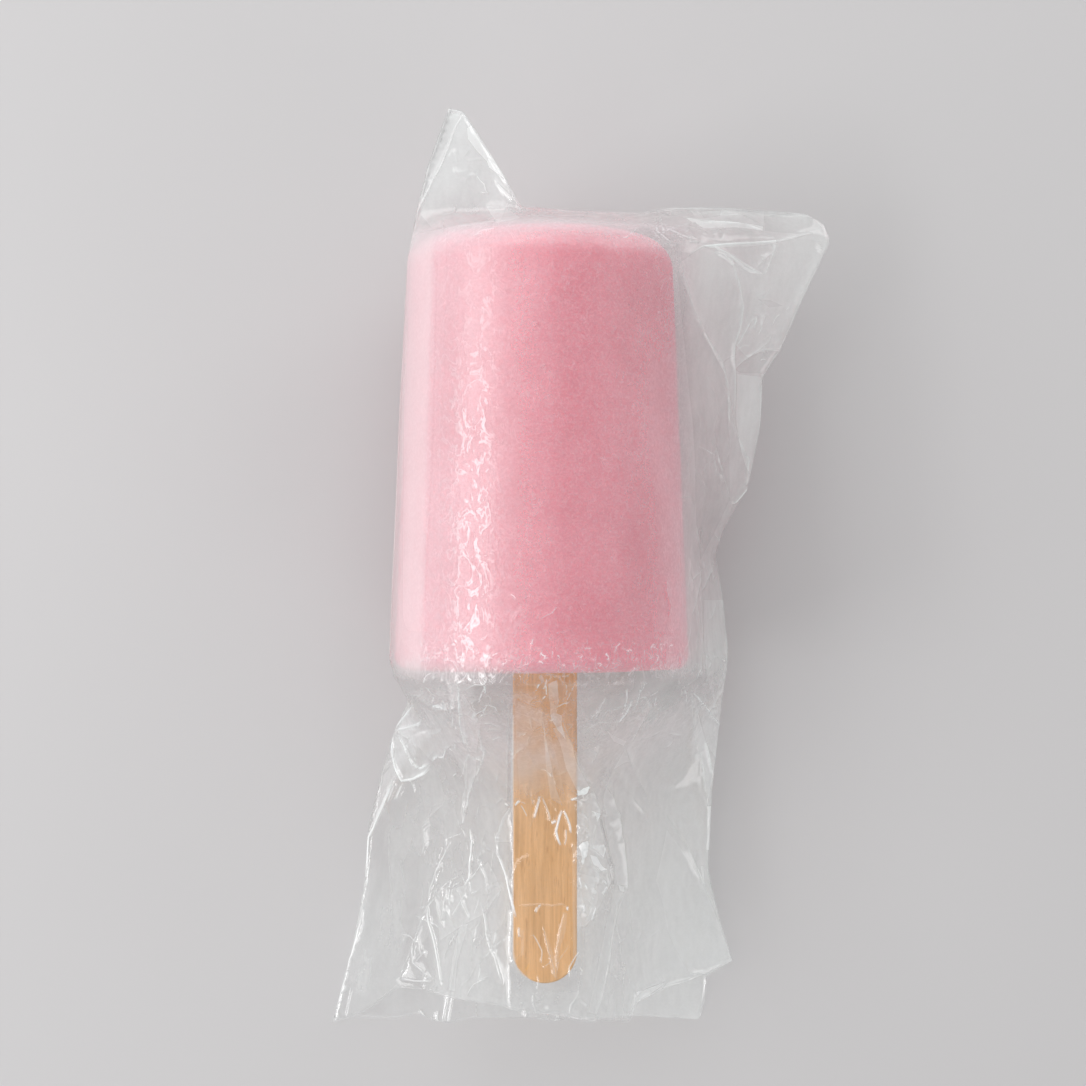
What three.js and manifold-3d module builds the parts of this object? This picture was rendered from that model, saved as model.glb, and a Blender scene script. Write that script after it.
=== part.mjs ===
// An ice pop lying on its side in a clear film bag: a tapered round block of
// pink milk ice on a flat wooden stick. The bag is wider than the ice, so its
// sealed end wraps the far end of the ice with a corner standing out on each
// side, and its open mouth lies past the end of the stick.
//
// Units are millimetres. +Z is up, and +Y runs from the stick towards the far
// end of the ice. The origin is on the surface that the pop lies on, under the
// middle of the ice.

import * as THREE from "three";
import { mergeVertices } from "three/addons/utils/BufferGeometryUtils.js";
import Module from "manifold-3d";

const wasm = await Module();
wasm.setup();

// Ice: a cup-moulded block, wider at the stick.
const ICE_LENGTH = 69;
const ICE_BASE_RADIUS = 22.9;
const ICE_TIP_RADIUS = 20.6;
const TIP_EDGE_RADIUS = 5;
const TIP_DOME = 1.2;
const BASE_EDGE_RADIUS = 2;
const BASE_DOME = 0.6;
const ICE_SEGMENTS = 72;
const FACE_STEPS = 3;
const TIP_EDGE_STEPS = 7;
const BASE_EDGE_STEPS = 3;
const REST_SINK = 0.35; // depth melted flat where the ice lies on the bag

// Stick: a standard 93 x 10 x 2 mm pop stick.
const STICK_LENGTH = 93;
const STICK_WIDTH = 10;
const STICK_THICKNESS = 2;
const STICK_SHOWING = 48;
const STICK_OFFSET = 0.5; // off the axis of the ice
const STICK_EDGE = 0.25; // sanded edge
const STICK_EDGE_STEPS = 2;
const STICK_END_STEPS = 14;

// Bag: one tube of film, with a wall thick enough to be a solid.
const FILM = 0.5;
const GAP = 0.3;
const SLACK = 0.15; // for the flat triangles that go round a curve
const FILM_REACH = GAP + SLACK + FILM / 2; // from what it covers to the middle of the film
const TIP_CLEARANCE = 0.35; // more room over the round edge of the tip
const FRONT_COLUMNS = 26;
const BACK_COLUMNS = 17;
const MOUTH_ROWS = 15; // from the mouth to the rim of the ice
const SIDE_ROWS = 11; // along the straight side of the ice
const TIP_ROWS = 14; // round the tip to the seam
const FINE_STEPS = 160; // along and across a layer, before its points are spaced evenly
const RIM_CLEARANCE = 0.8; // how far past the rim of the ice the film runs on
const DROP_LENGTH = 20; // from the rim of the ice down to the stick
const BACK_DROP_LENGTH = 12;
const DROP_POWER = 1.3;
const STICK_FOLD_RADIUS = 0.8;
const STICK_FOLD_REACH = STICK_WIDTH / 2 + 1.2; // from the middle of the stick to a fold beside it
const FRONT_SAG = 2.5; // of the film between the stick and the side creases
const EDGE_RISE = 8; // width over which the lying film rises to a side crease
const EAR_PUFF = 0.7; // half the air left inside the corners

const TAPER = Math.atan((ICE_BASE_RADIUS - ICE_TIP_RADIUS) / ICE_LENGTH);
const HALF_ICE = ICE_LENGTH / 2;
const REST_HEIGHT = FILM + GAP; // of the flat that the ice rests on
const LOWEST_LINE = REST_HEIGHT - REST_SINK; // of the cone before it is cut flat
const AXIS_HEIGHT = LOWEST_LINE + ((ICE_BASE_RADIUS + ICE_TIP_RADIUS) / 2) * Math.cos(TAPER);
const TIP_EDGE_LINE = HALF_ICE - TIP_DOME - TIP_EDGE_RADIUS; // where the side of the ice starts to round
const RIM_LINE = -HALF_ICE - RIM_CLEARANCE; // where the film leaves the rim of the ice
const SEAM_LINE = 37.7; // of the seam where it crosses the ice
const PUFF_LINE = 32.5; // where the air in the corners starts to lift the film
const FILM_ROWS = MOUTH_ROWS + SIDE_ROWS + TIP_ROWS;
const FAR = 200;

// The side creases, the sealed seam and the two edges of the mouth, as [x, y, z].
const EAR_LEFT = [-14.6, 53.8, 22];
const EAR_RIGHT = [44.9, 36.4, 16];
const MOUTH_LEFT = [-34.7, -93.6, 0.8];
const MOUTH_RIGHT = [31.6, -83.4, 1.2];
const LEFT_CREASE = [
  MOUTH_LEFT,
  [-31.7, -82.4, 0.9],
  [-29.3, -70.7, 1.2],
  [-28.7, -61.2, 1.8],
  [-26, -50.6, 4],
  [-24, -44.8, 7],
  [-21.4, -39.6, 12],
  [-22.6, -36.4, 16.5],
  [-24.2, -32.8, 20.3],
  [-23.9, -27.2, 21.5],
  [-22.4, 7.8, 21],
  [-21.2, 30.3, 20.5],
  [-19.9, 36.8, 21],
  [-17.9, 44.8, 21.6],
  EAR_LEFT,
];
const RIGHT_CREASE = [
  MOUTH_RIGHT,
  [29.4, -76.5, 1.4],
  [27.5, -68.2, 1.8],
  [28.1, -54.9, 2.6],
  [29, -45.7, 4],
  [30.5, -32.2, 6],
  [29.5, -22.2, 6.5],
  [28.2, -16.2, 7],
  [29.6, -11.7, 8],
  [33.5, -4.6, 10],
  [35.2, 4.8, 12],
  [35.9, 13.5, 13.5],
  [41.1, 24.5, 15.5],
  [45.9, 33.8, 16.5],
  EAR_RIGHT,
];
const SEAM = [
  EAR_LEFT,
  [-12.3, 53.4, 22],
  [-5.8, 43.2, 21.6],
  [-3.4, 38.6, 21],
  [4, 38.1, 21],
  [15.5, 37.7, 20.4],
  [20, 38.6, 19.8],
  [28.1, 38.8, 18.6],
  [42, 38.1, 16.6],
  EAR_RIGHT,
];
const FRONT_MOUTH = [
  MOUTH_LEFT,
  [-30, -89.7, 1],
  [-22, -86.7, 1.5],
  [0, -86.2, 2],
  [18, -86.7, 1.8],
  [26, -85.2, 1.4],
  MOUTH_RIGHT,
];
const BACK_MOUTH = [
  MOUTH_LEFT,
  [-31, -93, 0.5],
  [0, -93.2, 0.5],
  [24, -92.8, 0.5],
  [28.4, -89.2, 0.7],
  MOUTH_RIGHT,
];

// A three.js geometry as a manifold-3d solid.
function solidFrom(geometry, matrix = new THREE.Matrix4()) {
  const bare = new THREE.BufferGeometry().setAttribute(
    "position",
    (geometry.index ? geometry.toNonIndexed() : geometry).getAttribute("position"),
  );
  const merged = mergeVertices(bare.applyMatrix4(matrix), 1e-4);
  return new wasm.Manifold(
    new wasm.Mesh({
      numProp: 3,
      vertProperties: merged.attributes.position.array,
      triVerts: new Uint32Array(merged.index.array),
    }),
  );
}

// A manifold-3d solid as a three.js geometry.
function geometryFrom(solid) {
  const mesh = solid.getMesh();
  const geometry = new THREE.BufferGeometry();
  geometry.setAttribute("position", new THREE.BufferAttribute(mesh.vertProperties, 3));
  geometry.setIndex(new THREE.BufferAttribute(mesh.triVerts, 1));
  geometry.computeVertexNormals();
  return geometry;
}

// Radius of the ice at a distance along its axis from its middle.
function iceRadius(along) {
  return THREE.MathUtils.lerp(ICE_BASE_RADIUS, ICE_TIP_RADIUS, (along + HALF_ICE) / ICE_LENGTH);
}

// Places a shape built round the Y axis on the axis of the lying ice.
function alongIce() {
  return new THREE.Matrix4()
    .makeTranslation(0, 0, AXIS_HEIGHT)
    .multiply(new THREE.Matrix4().makeRotationX(-TAPER));
}

// The outline of half the ice, from the middle of its tip to the middle of its base.
function iceProfile() {
  const points = [];
  const tipFlat = ICE_TIP_RADIUS - TIP_EDGE_RADIUS;
  for (let i = 0; i <= FACE_STEPS; i++) {
    const share = i / FACE_STEPS;
    points.push(new THREE.Vector2(tipFlat * share, HALF_ICE - TIP_DOME * share ** 2));
  }
  for (let i = 1; i <= TIP_EDGE_STEPS; i++) {
    const turn = (Math.PI / 2) * (1 - i / TIP_EDGE_STEPS);
    points.push(
      new THREE.Vector2(
        tipFlat + TIP_EDGE_RADIUS * Math.cos(turn),
        TIP_EDGE_LINE + TIP_EDGE_RADIUS * Math.sin(turn),
      ),
    );
  }
  const baseFlat = ICE_BASE_RADIUS - BASE_EDGE_RADIUS;
  for (let i = 0; i <= BASE_EDGE_STEPS; i++) {
    const turn = (Math.PI / 2) * (i / BASE_EDGE_STEPS);
    points.push(
      new THREE.Vector2(
        baseFlat + BASE_EDGE_RADIUS * Math.cos(turn),
        -HALF_ICE + BASE_DOME + BASE_EDGE_RADIUS * (1 - Math.sin(turn)),
      ),
    );
  }
  for (let i = FACE_STEPS - 1; i >= 0; i--) {
    const share = i / FACE_STEPS;
    points.push(new THREE.Vector2(baseFlat * share, -HALF_ICE + BASE_DOME * share ** 2));
  }
  return points.reverse();
}

// A flat bar with round ends and sanded edges, its outline grown by `room`.
function stickGeometry(room) {
  const radius = STICK_WIDTH / 2 + room;
  const low = -HALF_ICE - STICK_SHOWING + STICK_WIDTH / 2;
  const high = low + STICK_LENGTH - STICK_WIDTH;
  const shape = new THREE.Shape();
  const edge = STICK_EDGE;
  shape.absarc(0, high, radius - edge, 0, Math.PI, false);
  shape.absarc(0, low, radius - edge, Math.PI, 2 * Math.PI, false);
  shape.closePath();
  const depth = STICK_THICKNESS + 2 * room;
  return new THREE.ExtrudeGeometry(shape, {
    depth: depth - 2 * edge,
    bevelEnabled: true,
    bevelThickness: edge,
    bevelSize: edge,
    bevelSegments: STICK_EDGE_STEPS,
    curveSegments: STICK_END_STEPS,
  }).translate(STICK_OFFSET, 0, -depth / 2 + edge);
}

function iceSolid() {
  const block = solidFrom(new THREE.LatheGeometry(iceProfile(), ICE_SEGMENTS), alongIce());
  const below = solidFrom(new THREE.BoxGeometry(FAR, FAR, FAR).translate(0, 0, REST_HEIGHT - FAR / 2));
  return block.subtract(solidFrom(stickGeometry(GAP), alongIce())).subtract(below);
}

// A smooth curve through a list of points.
function curveThrough(points) {
  return new THREE.CatmullRomCurve3(
    points.map((p) => new THREE.Vector3(...p)),
    false,
    "centripetal",
  );
}

const creases = { left: curveThrough(LEFT_CREASE), right: curveThrough(RIGHT_CREASE) };
const seam = curveThrough(SEAM);
const mouths = { front: curveThrough(FRONT_MOUTH), back: curveThrough(BACK_MOUTH) };

// Height over the surface of the axis of the ice and stick at y.
function axisHeight(y) {
  return AXIS_HEIGHT - y * Math.tan(TAPER);
}

// Radius at which the film goes round the ice, which closes to nothing at the seam.
function wrapRadius(y) {
  const straight = iceRadius(y) + FILM_REACH;
  const tipFlat = ICE_TIP_RADIUS - TIP_EDGE_RADIUS;
  const round = TIP_EDGE_RADIUS + FILM_REACH + TIP_CLEARANCE;
  const past = y - TIP_EDGE_LINE - TIP_CLEARANCE;
  if (past < 0) return straight;
  if (past < round) return Math.min(straight, tipFlat + Math.sqrt(round ** 2 - past ** 2));
  const closing = (past - round) / (SEAM_LINE - TIP_EDGE_LINE - TIP_CLEARANCE - round);
  return tipFlat * Math.max(0, 1 - closing);
}

// What the film is stretched over at y: two round corners, `half` to each side.
function frontCore(y) {
  const drop = THREE.MathUtils.clamp((RIM_LINE - y) / DROP_LENGTH, 0, 1);
  if (drop === 0) {
    const radius = wrapRadius(y);
    return { middle: 0, half: 0, radius, height: axisHeight(Math.min(y, HALF_ICE)) };
  }
  const high = (1 - drop) ** DROP_POWER;
  const rim = wrapRadius(RIM_LINE);
  const radius = THREE.MathUtils.lerp(STICK_FOLD_RADIUS, rim, high);
  const stickTop = axisHeight(y) + STICK_THICKNESS / 2 + FILM_REACH;
  const top = THREE.MathUtils.lerp(stickTop, axisHeight(RIM_LINE) + rim, high);
  const half = STICK_FOLD_REACH * (1 - high);
  return { middle: STICK_OFFSET * (1 - high), half, radius, height: top - radius };
}

// Height of a film drawn tight over a core from the creases `left` and `right`.
// `way` is 1 for the film over the core and -1 for the film under it.
function tightHeight(x, core, left, right, way) {
  const side = x < core.middle ? -1 : 1;
  const crease = side < 0 ? left : right;
  const out = (x - core.middle) * side - core.half;
  if (out <= 0) return core.height + way * core.radius;
  const across = (crease.x - core.middle) * side - core.half;
  const up = (crease.z - core.height) * way;
  const reach = Math.max(core.radius, Math.hypot(across, up));
  const leaves = Math.atan2(up, across) + Math.acos(core.radius / reach);
  const leavesAt = core.radius * Math.cos(leaves);
  if (out < leavesAt) return core.height + way * Math.sqrt(core.radius ** 2 - out ** 2);
  const share = across > leavesAt ? Math.min(1, (out - leavesAt) / (across - leavesAt)) : 1;
  return core.height + way * THREE.MathUtils.lerp(core.radius * Math.sin(leaves), up, share);
}

// Height of the front layer before the air in the corners lifts it.
function frontHeight(x, y, left, right) {
  const core = frontCore(y);
  const crease = x < core.middle ? left : right;
  const out = (Math.abs(x - core.middle) - core.half) / (Math.abs(crease.x - core.middle) - core.half);
  const sagging = THREE.MathUtils.smoothstep(RIM_LINE - y, 0, DROP_LENGTH);
  const sag = FRONT_SAG * sagging * Math.sin(Math.PI * THREE.MathUtils.clamp(out, 0, 1)) ** 2;
  return tightHeight(x, core, left, right, 1) - sag;
}

// Height of the back layer: tight under the ice, and lying flat beyond its rim, where it
// rises only at its sides, to the creases.
function backHeight(x, y, left, right) {
  const core = { middle: 0, half: 0, radius: wrapRadius(y), height: axisHeight(Math.min(y, HALF_ICE)) };
  const wrapped = Math.max(FILM / 2, tightHeight(x, core, left, right, -1));
  const nearLeft = Math.max(0, 1 - (x - left.x) / EDGE_RISE) ** 2;
  const nearRight = Math.max(0, 1 - (right.x - x) / EDGE_RISE) ** 2;
  const flat = FILM / 2 + nearLeft * (left.z - FILM / 2) + nearRight * (right.z - FILM / 2);
  return THREE.MathUtils.lerp(wrapped, flat, THREE.MathUtils.smoothstep(RIM_LINE - y, 0, BACK_DROP_LENGTH));
}

// One point of a layer: s runs from the left crease to the right, v from mouth to seam.
function filmPoint(side, s, v) {
  const left = creases.left.getPointAt(v);
  const right = creases.right.getPointAt(v);
  const near = mouths[side].getPointAt(s);
  const far = seam.getPointAt(s);
  if (s <= 0) return left;
  if (s >= 1) return right;
  if (v >= 1) return far;
  const { lerp } = THREE.MathUtils;
  const [x, y] = ["x", "y"].map((axis, n) => {
    const atMouth = lerp(MOUTH_LEFT[n], MOUTH_RIGHT[n], s);
    const atSeam = lerp(EAR_LEFT[n], EAR_RIGHT[n], s);
    return lerp(near[axis], far[axis], v) + lerp(left[axis], right[axis], s) - lerp(atMouth, atSeam, v);
  });
  const puff = EAR_PUFF * Math.sin(Math.PI * s) * THREE.MathUtils.smoothstep(y, PUFF_LINE, SEAM_LINE);
  const z = side === "front" ? frontHeight(x, y, left, right) + puff : backHeight(x, y, left, right) - puff;
  return new THREE.Vector3(x, y, z);
}

// The same line of points, spaced evenly in `steps`.
function evenlySpaced(points, steps) {
  const lengths = [0];
  for (let i = 1; i < points.length; i++) lengths.push(lengths[i - 1] + points[i].distanceTo(points[i - 1]));
  const even = [];
  for (let step = 0, i = 0; step <= steps; step++) {
    const target = (lengths.at(-1) * step) / steps;
    while (i < lengths.length - 2 && lengths[i + 1] < target) i++;
    const share = (target - lengths[i]) / (lengths[i + 1] - lengths[i]);
    even.push(points[i].clone().lerp(points[i + 1], THREE.MathUtils.clamp(share, 0, 1)));
  }
  return even;
}

// A line of points that runs towards +Y, cut in two at y.
function cutAt(points, y) {
  const after = points.findIndex((p) => p.y > y);
  const [before, next] = [points[after - 1], points[after]];
  const cut = before.clone().lerp(next, (y - before.y) / (next.y - before.y));
  return [[...points.slice(0, after), cut], [cut, ...points.slice(after)]];
}

// A layer as columns of points from mouth to seam. They are spaced evenly over the film in
// each of three stretches, so that one row lies along the rim of the ice.
function filmColumns(side, columns) {
  const rows = [];
  for (let j = 0; j <= FINE_STEPS; j++) {
    const row = [];
    for (let i = 0; i <= FINE_STEPS; i++) row.push(filmPoint(side, i / FINE_STEPS, j / FINE_STEPS));
    rows.push(evenlySpaced(row, columns));
  }
  const grid = [];
  for (let i = 0; i <= columns; i++) {
    const [mouth, rest] = cutAt(rows.map((row) => row[i]), RIM_LINE);
    const [straight, tip] = cutAt(rest, TIP_EDGE_LINE);
    grid.push([
      ...evenlySpaced(mouth, MOUTH_ROWS),
      ...evenlySpaced(straight, SIDE_ROWS).slice(1),
      ...evenlySpaced(tip, TIP_ROWS).slice(1),
    ]);
  }
  return grid;
}

// A layer of film as a thin solid, with both faces split into triangles alike, each quad
// across its shorter diagonal.
function layerSolid(side, columns) {
  const grid = filmColumns(side, columns);
  const outwards = side === "front" ? 1 : -1;
  const at = (i, j) =>
    grid[THREE.MathUtils.clamp(i, 0, columns)][THREE.MathUtils.clamp(j, 0, FILM_ROWS)];
  const positions = [];
  for (const face of [outwards, -outwards]) {
    for (let i = 0; i <= columns; i++) {
      for (let j = 0; j <= FILM_ROWS; j++) {
        const across = at(i + 1, j).clone().sub(at(i - 1, j));
        const along = at(i, j + 1).clone().sub(at(i, j - 1));
        const normal = across.cross(along).normalize();
        positions.push(...at(i, j).clone().addScaledVector(normal, (face * FILM) / 2).toArray());
      }
    }
  }
  const rows = FILM_ROWS + 1;
  const layer = (columns + 1) * rows;
  const index = [];
  const triangle = (a, b, c) => index.push(...(outwards > 0 ? [a, b, c] : [a, c, b]));
  for (let i = 0; i < columns; i++) {
    for (let j = 0; j < FILM_ROWS; j++) {
      let corners = [i * rows + j, (i + 1) * rows + j, (i + 1) * rows + j + 1, i * rows + j + 1];
      const firstDiagonal = at(i, j).distanceTo(at(i + 1, j + 1));
      const otherDiagonal = at(i + 1, j).distanceTo(at(i, j + 1));
      if (otherDiagonal < firstDiagonal) corners = [...corners.slice(1), corners[0]];
      const [a, b, c, d] = corners;
      triangle(a, b, c);
      triangle(a, c, d);
      triangle(c + layer, b + layer, a + layer);
      triangle(d + layer, c + layer, a + layer);
    }
  }
  const rim = [];
  for (let i = 0; i < columns; i++) rim.push(i * rows);
  for (let j = 0; j < FILM_ROWS; j++) rim.push(columns * rows + j);
  for (let i = columns; i > 0; i--) rim.push(i * rows + FILM_ROWS);
  for (let j = FILM_ROWS; j > 0; j--) rim.push(j);
  rim.forEach((a, n) => {
    const b = rim[(n + 1) % rim.length];
    triangle(a, a + layer, b + layer);
    triangle(a, b + layer, b);
  });
  const geometry = new THREE.BufferGeometry();
  geometry.setAttribute("position", new THREE.Float32BufferAttribute(positions, 3));
  geometry.setIndex(index);
  return solidFrom(geometry);
}

// Both layers as one body. Pinholes sealed between them at the creases are left filled.
function bagSolid() {
  const bodies = layerSolid("front", FRONT_COLUMNS).add(layerSolid("back", BACK_COLUMNS)).decompose();
  return bodies.reduce((largest, body) => (body.volume() > largest.volume() ? body : largest));
}

function piece(name, solid, material) {
  const mesh = new THREE.Mesh(geometryFrom(solid), material);
  mesh.name = name;
  return mesh;
}

const icePink = new THREE.MeshStandardMaterial({ color: 0xf0a8b8, roughness: 0.55, metalness: 0 });
const birch = new THREE.MeshStandardMaterial({ color: 0xdcb183, roughness: 0.7, metalness: 0 });
const clearFilm = new THREE.MeshStandardMaterial({
  color: 0xf2f3f4,
  roughness: 0.12,
  metalness: 0,
  transparent: true,
  opacity: 0.25,
});

const icePop = new THREE.Group();
icePop.add(piece("ice", iceSolid(), icePink));
icePop.add(piece("stick", solidFrom(stickGeometry(0), alongIce()), birch));
icePop.add(piece("bag", bagSolid(), clearFilm));

export default icePop;
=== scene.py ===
# An ice pop lying on its side in a clear film bag: pink milk ice on a flat birch stick, slipped into
# a bag that is sealed past the far end of the ice and open past the end of the stick.
# Metres, +Z up, +Y from the stick towards the far end of the ice.
import math

import bmesh
import bpy
import numpy as np
from mathutils import Matrix, Vector
from mathutils.geometry import delaunay_2d_cdt


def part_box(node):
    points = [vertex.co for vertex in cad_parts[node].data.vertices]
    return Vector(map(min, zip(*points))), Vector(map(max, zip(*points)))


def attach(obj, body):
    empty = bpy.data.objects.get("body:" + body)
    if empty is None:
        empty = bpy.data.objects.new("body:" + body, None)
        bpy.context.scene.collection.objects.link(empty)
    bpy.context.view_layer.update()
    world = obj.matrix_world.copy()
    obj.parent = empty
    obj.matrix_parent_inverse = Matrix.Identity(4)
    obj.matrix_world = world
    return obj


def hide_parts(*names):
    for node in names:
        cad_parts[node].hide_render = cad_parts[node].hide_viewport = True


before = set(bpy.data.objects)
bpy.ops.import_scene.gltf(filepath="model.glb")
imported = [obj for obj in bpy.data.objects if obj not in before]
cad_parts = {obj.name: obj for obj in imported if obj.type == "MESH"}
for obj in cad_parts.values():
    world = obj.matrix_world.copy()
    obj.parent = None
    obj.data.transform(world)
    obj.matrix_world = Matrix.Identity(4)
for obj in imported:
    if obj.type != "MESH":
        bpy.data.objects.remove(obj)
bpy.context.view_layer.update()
MM = 0.001
scene = bpy.context.scene


# Camera: it looks straight down on the pop from the height of an arm, with the stick nearest.
CAMERA_HEIGHT = 377 * MM
CAMERA_PLACE = (0.2 * MM, -14.2 * MM)
FIELD_OF_VIEW = math.radians(26.92)

camera_data = bpy.data.cameras.new("camera")
camera_data.angle = FIELD_OF_VIEW
camera = bpy.data.objects.new("camera", camera_data)
camera.location = (*CAMERA_PLACE, CAMERA_HEIGHT)
scene.collection.objects.link(camera)
scene.camera = camera


# Studio: a plain pale table, a large soft light and a narrow bright one from the left, a weaker one
# from beyond the pop, three reflectors, and a pale room all round.
FLOOR_SIZE = 4.0
AIM = Vector((0, -0.01, 0.02))

# each light is a rectangle that faces the pop, with its radiance as strength
for name, direction, distance, width, height, strength in (
    ("window_left", (-1.0, 0.0, 0.8), 0.62, 0.5, 0.36, 2.65),
    ("strip_left", (-1.0, -0.28, 0.82), 0.62, 0.24, 0.06, 7.0),
    ("panel_far", (-0.25, 1.0, 0.95), 0.7, 0.8, 0.45, 1.6),
    ("reflector_right", (0.9, 0.7, 0.35), 0.8, 0.42, 0.42, 1.85),
    ("reflector_near", (0.85, -0.8, 0.35), 0.8, 0.42, 0.42, 1.9),
    ("reflector_left", (-0.7, -1.0, 0.8), 0.8, 0.36, 0.36, 0.7),
):
    data = bpy.data.lights.new(name, "AREA")
    data.shape = "RECTANGLE"
    data.size = width
    data.size_y = height
    data.energy = strength * math.pi * width * height
    lamp = bpy.data.objects.new(name, data)
    lamp.location = AIM + Vector(direction).normalized() * distance
    lamp.rotation_euler = (AIM - lamp.location).to_track_quat("-Z", "Y").to_euler()
    lamp.visible_camera = False
    scene.collection.objects.link(lamp)

room = bpy.data.worlds.new("room")
room.use_nodes = True
room_light = room.node_tree.nodes["Background"]
room_light.inputs["Color"].default_value = (1.0, 0.99, 0.99, 1)
room_light.inputs["Strength"].default_value = 0.44
scene.world = room
scene.view_settings.view_transform = "Standard"
scene.cycles.transparent_max_bounces = 12
scene.cycles.max_bounces = 6
scene.cycles.diffuse_bounces = 3
scene.cycles.glossy_bounces = 2

bpy.ops.mesh.primitive_plane_add(size=FLOOR_SIZE)
floor = bpy.context.active_object
floor.name = "table"
table_paint = bpy.data.materials.new("table_paint")
table_paint.use_nodes = True
table_finish = table_paint.node_tree.nodes["Principled BSDF"]
table_finish.inputs["Base Color"].default_value = (0.612, 0.605, 0.61, 1)
table_finish.inputs["Roughness"].default_value = 0.9
table_finish.inputs["Specular IOR Level"].default_value = 0.1
floor.data.materials.append(table_paint)


# Ice: milk ice frozen in a tapered cup round the stick, knocked out, and dusted with frost. It is
# modelled as a turned block, remeshed into even faces and roughened with the grain of the ice.
ICE_LENGTH = 69 * MM
ICE_BASE_RADIUS = 22.9 * MM
ICE_TIP_RADIUS = 20.6 * MM
TIP_EDGE_RADIUS = 5 * MM
TIP_DOME = 1.2 * MM
BASE_EDGE_RADIUS = 2 * MM
BASE_DOME = 0.6 * MM
ICE_FACE = 0.75 * MM
TAPER = math.atan((ICE_BASE_RADIUS - ICE_TIP_RADIUS) / ICE_LENGTH)
ice_low, ice_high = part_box("ice")
AXIS_HEIGHT = ice_high.z - ICE_BASE_RADIUS * math.cos(TAPER) - (ICE_LENGTH / 2) * math.sin(TAPER)
LYING = Matrix.Translation((0, 0, AXIS_HEIGHT)) @ Matrix.Rotation(-TAPER, 4, "X")


def rounded(centre, radius, start, end, steps):
    """Points of an arc of the outline, as (radius from the axis, height along it)."""
    turns = [math.radians(start + (end - start) * n / steps) for n in range(steps + 1)]
    return [(centre[0] + radius * math.cos(a), centre[1] + radius * math.sin(a)) for a in turns]


base_end = -ICE_LENGTH / 2 + BASE_DOME
tip_end = ICE_LENGTH / 2 - TIP_DOME
base_corner = (ICE_BASE_RADIUS - BASE_EDGE_RADIUS, base_end + BASE_EDGE_RADIUS)
tip_corner = (ICE_TIP_RADIUS - TIP_EDGE_RADIUS, tip_end - TIP_EDGE_RADIUS)
outline = [(0, -ICE_LENGTH / 2), (base_corner[0] / 2, base_end - BASE_DOME * 0.75)]
outline += rounded(base_corner, BASE_EDGE_RADIUS, -90, 0, 6)
outline += rounded(tip_corner, TIP_EDGE_RADIUS, 0, 90, 12)
outline += [(tip_corner[0] / 2, tip_end + TIP_DOME * 0.75), (0, ICE_LENGTH / 2)]
ice_mesh = bpy.data.meshes.new("milk_ice")
ice_mesh.from_pydata([(r, 0, h) for r, h in outline], [(n, n + 1) for n in range(len(outline) - 1)], [])
ice = bpy.data.objects.new("milk_ice", ice_mesh)
scene.collection.objects.link(ice)
bpy.ops.object.select_all(action="DESELECT")
bpy.context.view_layer.objects.active = ice
ice.select_set(True)
bpy.ops.object.mode_set(mode="EDIT")
bpy.ops.mesh.select_all(action="SELECT")
bpy.ops.mesh.spin(steps=144, angle=math.radians(360), center=(0, 0, 0), axis=(0, 0, 1))
bpy.ops.mesh.select_all(action="SELECT")
bpy.ops.mesh.remove_doubles(threshold=0.001 * MM)
bpy.ops.mesh.normals_make_consistent(inside=False)
bpy.ops.object.mode_set(mode="OBJECT")
ice.data.transform(LYING @ Matrix.Rotation(math.radians(-90), 4, "X"))
ice.data.remesh_voxel_size = ICE_FACE
bpy.ops.object.voxel_remesh()
bpy.ops.object.shade_smooth()

for grain_name, grain_size, depth in (("lumps", 7 * MM, 0.26 * MM), ("frost", 1.4 * MM, 0.16 * MM)):
    grain = bpy.data.textures.new(grain_name, "CLOUDS")
    grain.noise_scale = grain_size
    roughen = ice.modifiers.new(grain_name, "DISPLACE")
    roughen.texture = grain
    roughen.texture_coords = "LOCAL"
    roughen.strength = depth
    roughen.mid_level = 0.7
    bpy.ops.object.modifier_apply(modifier=roughen.name)
for vertex in ice.data.vertices:
    vertex.co.z = max(vertex.co.z, ice_low.z)


# Materials are written as nested calls. Each adds a node to a tree and gives back one of its outputs,
# and takes values, or the outputs of other nodes, for its inputs.
def feed(tree, target, inputs):
    """Sets or links inputs of a node, given by name or by number. None leaves one as it is."""
    for socket, value in inputs.items():
        if isinstance(value, bpy.types.NodeSocket):
            tree.links.new(value, target.inputs[socket])
        elif value is not None:
            target.inputs[socket].default_value = value


def node(tree, kind, *inputs, out=0, **settings):
    """Adds a node: inputs come in their order, and settings are inputs or properties by their names."""
    made = tree.nodes.new("ShaderNode" + kind)
    named = {name: value for name, value in settings.items() if name in made.inputs}
    for name in settings.keys() - named.keys():
        setattr(made, name, settings[name])
    feed(tree, made, {**dict(enumerate(inputs)), **named})
    return made.outputs[out]


def maths(tree, operation, *values, **settings):
    """Works one value out of others."""
    return node(tree, "Math", *values, operation=operation, **settings)


def ranged(tree, value, from_min=0.0, from_max=1.0, to_min=0.0, to_max=1.0, kind="LINEAR"):
    """Brings a value from one range to another, and holds it inside that."""
    return node(tree, "MapRange", value, from_min, from_max, to_min, to_max, interpolation_type=kind)


def blend(tree, share, first, second):
    """Mixes two colours."""
    return node(tree, "Mix", share, *[None] * 5, first, second, out=2, data_type="RGBA")


def ramp(tree, share, *stops):
    """A colour ramp between stops, each a position and a colour."""
    made = node(tree, "ValToRGB", share)
    for element, (position, colour) in zip(made.node.color_ramp.elements, stops):
        element.position, element.color = position, colour
    return made


def new_material(name):
    """A material, its node tree and the node of its finish."""
    material = bpy.data.materials.new(name)
    material.use_nodes = True
    return material, material.node_tree, material.node_tree.nodes["Principled BSDF"]


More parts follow.
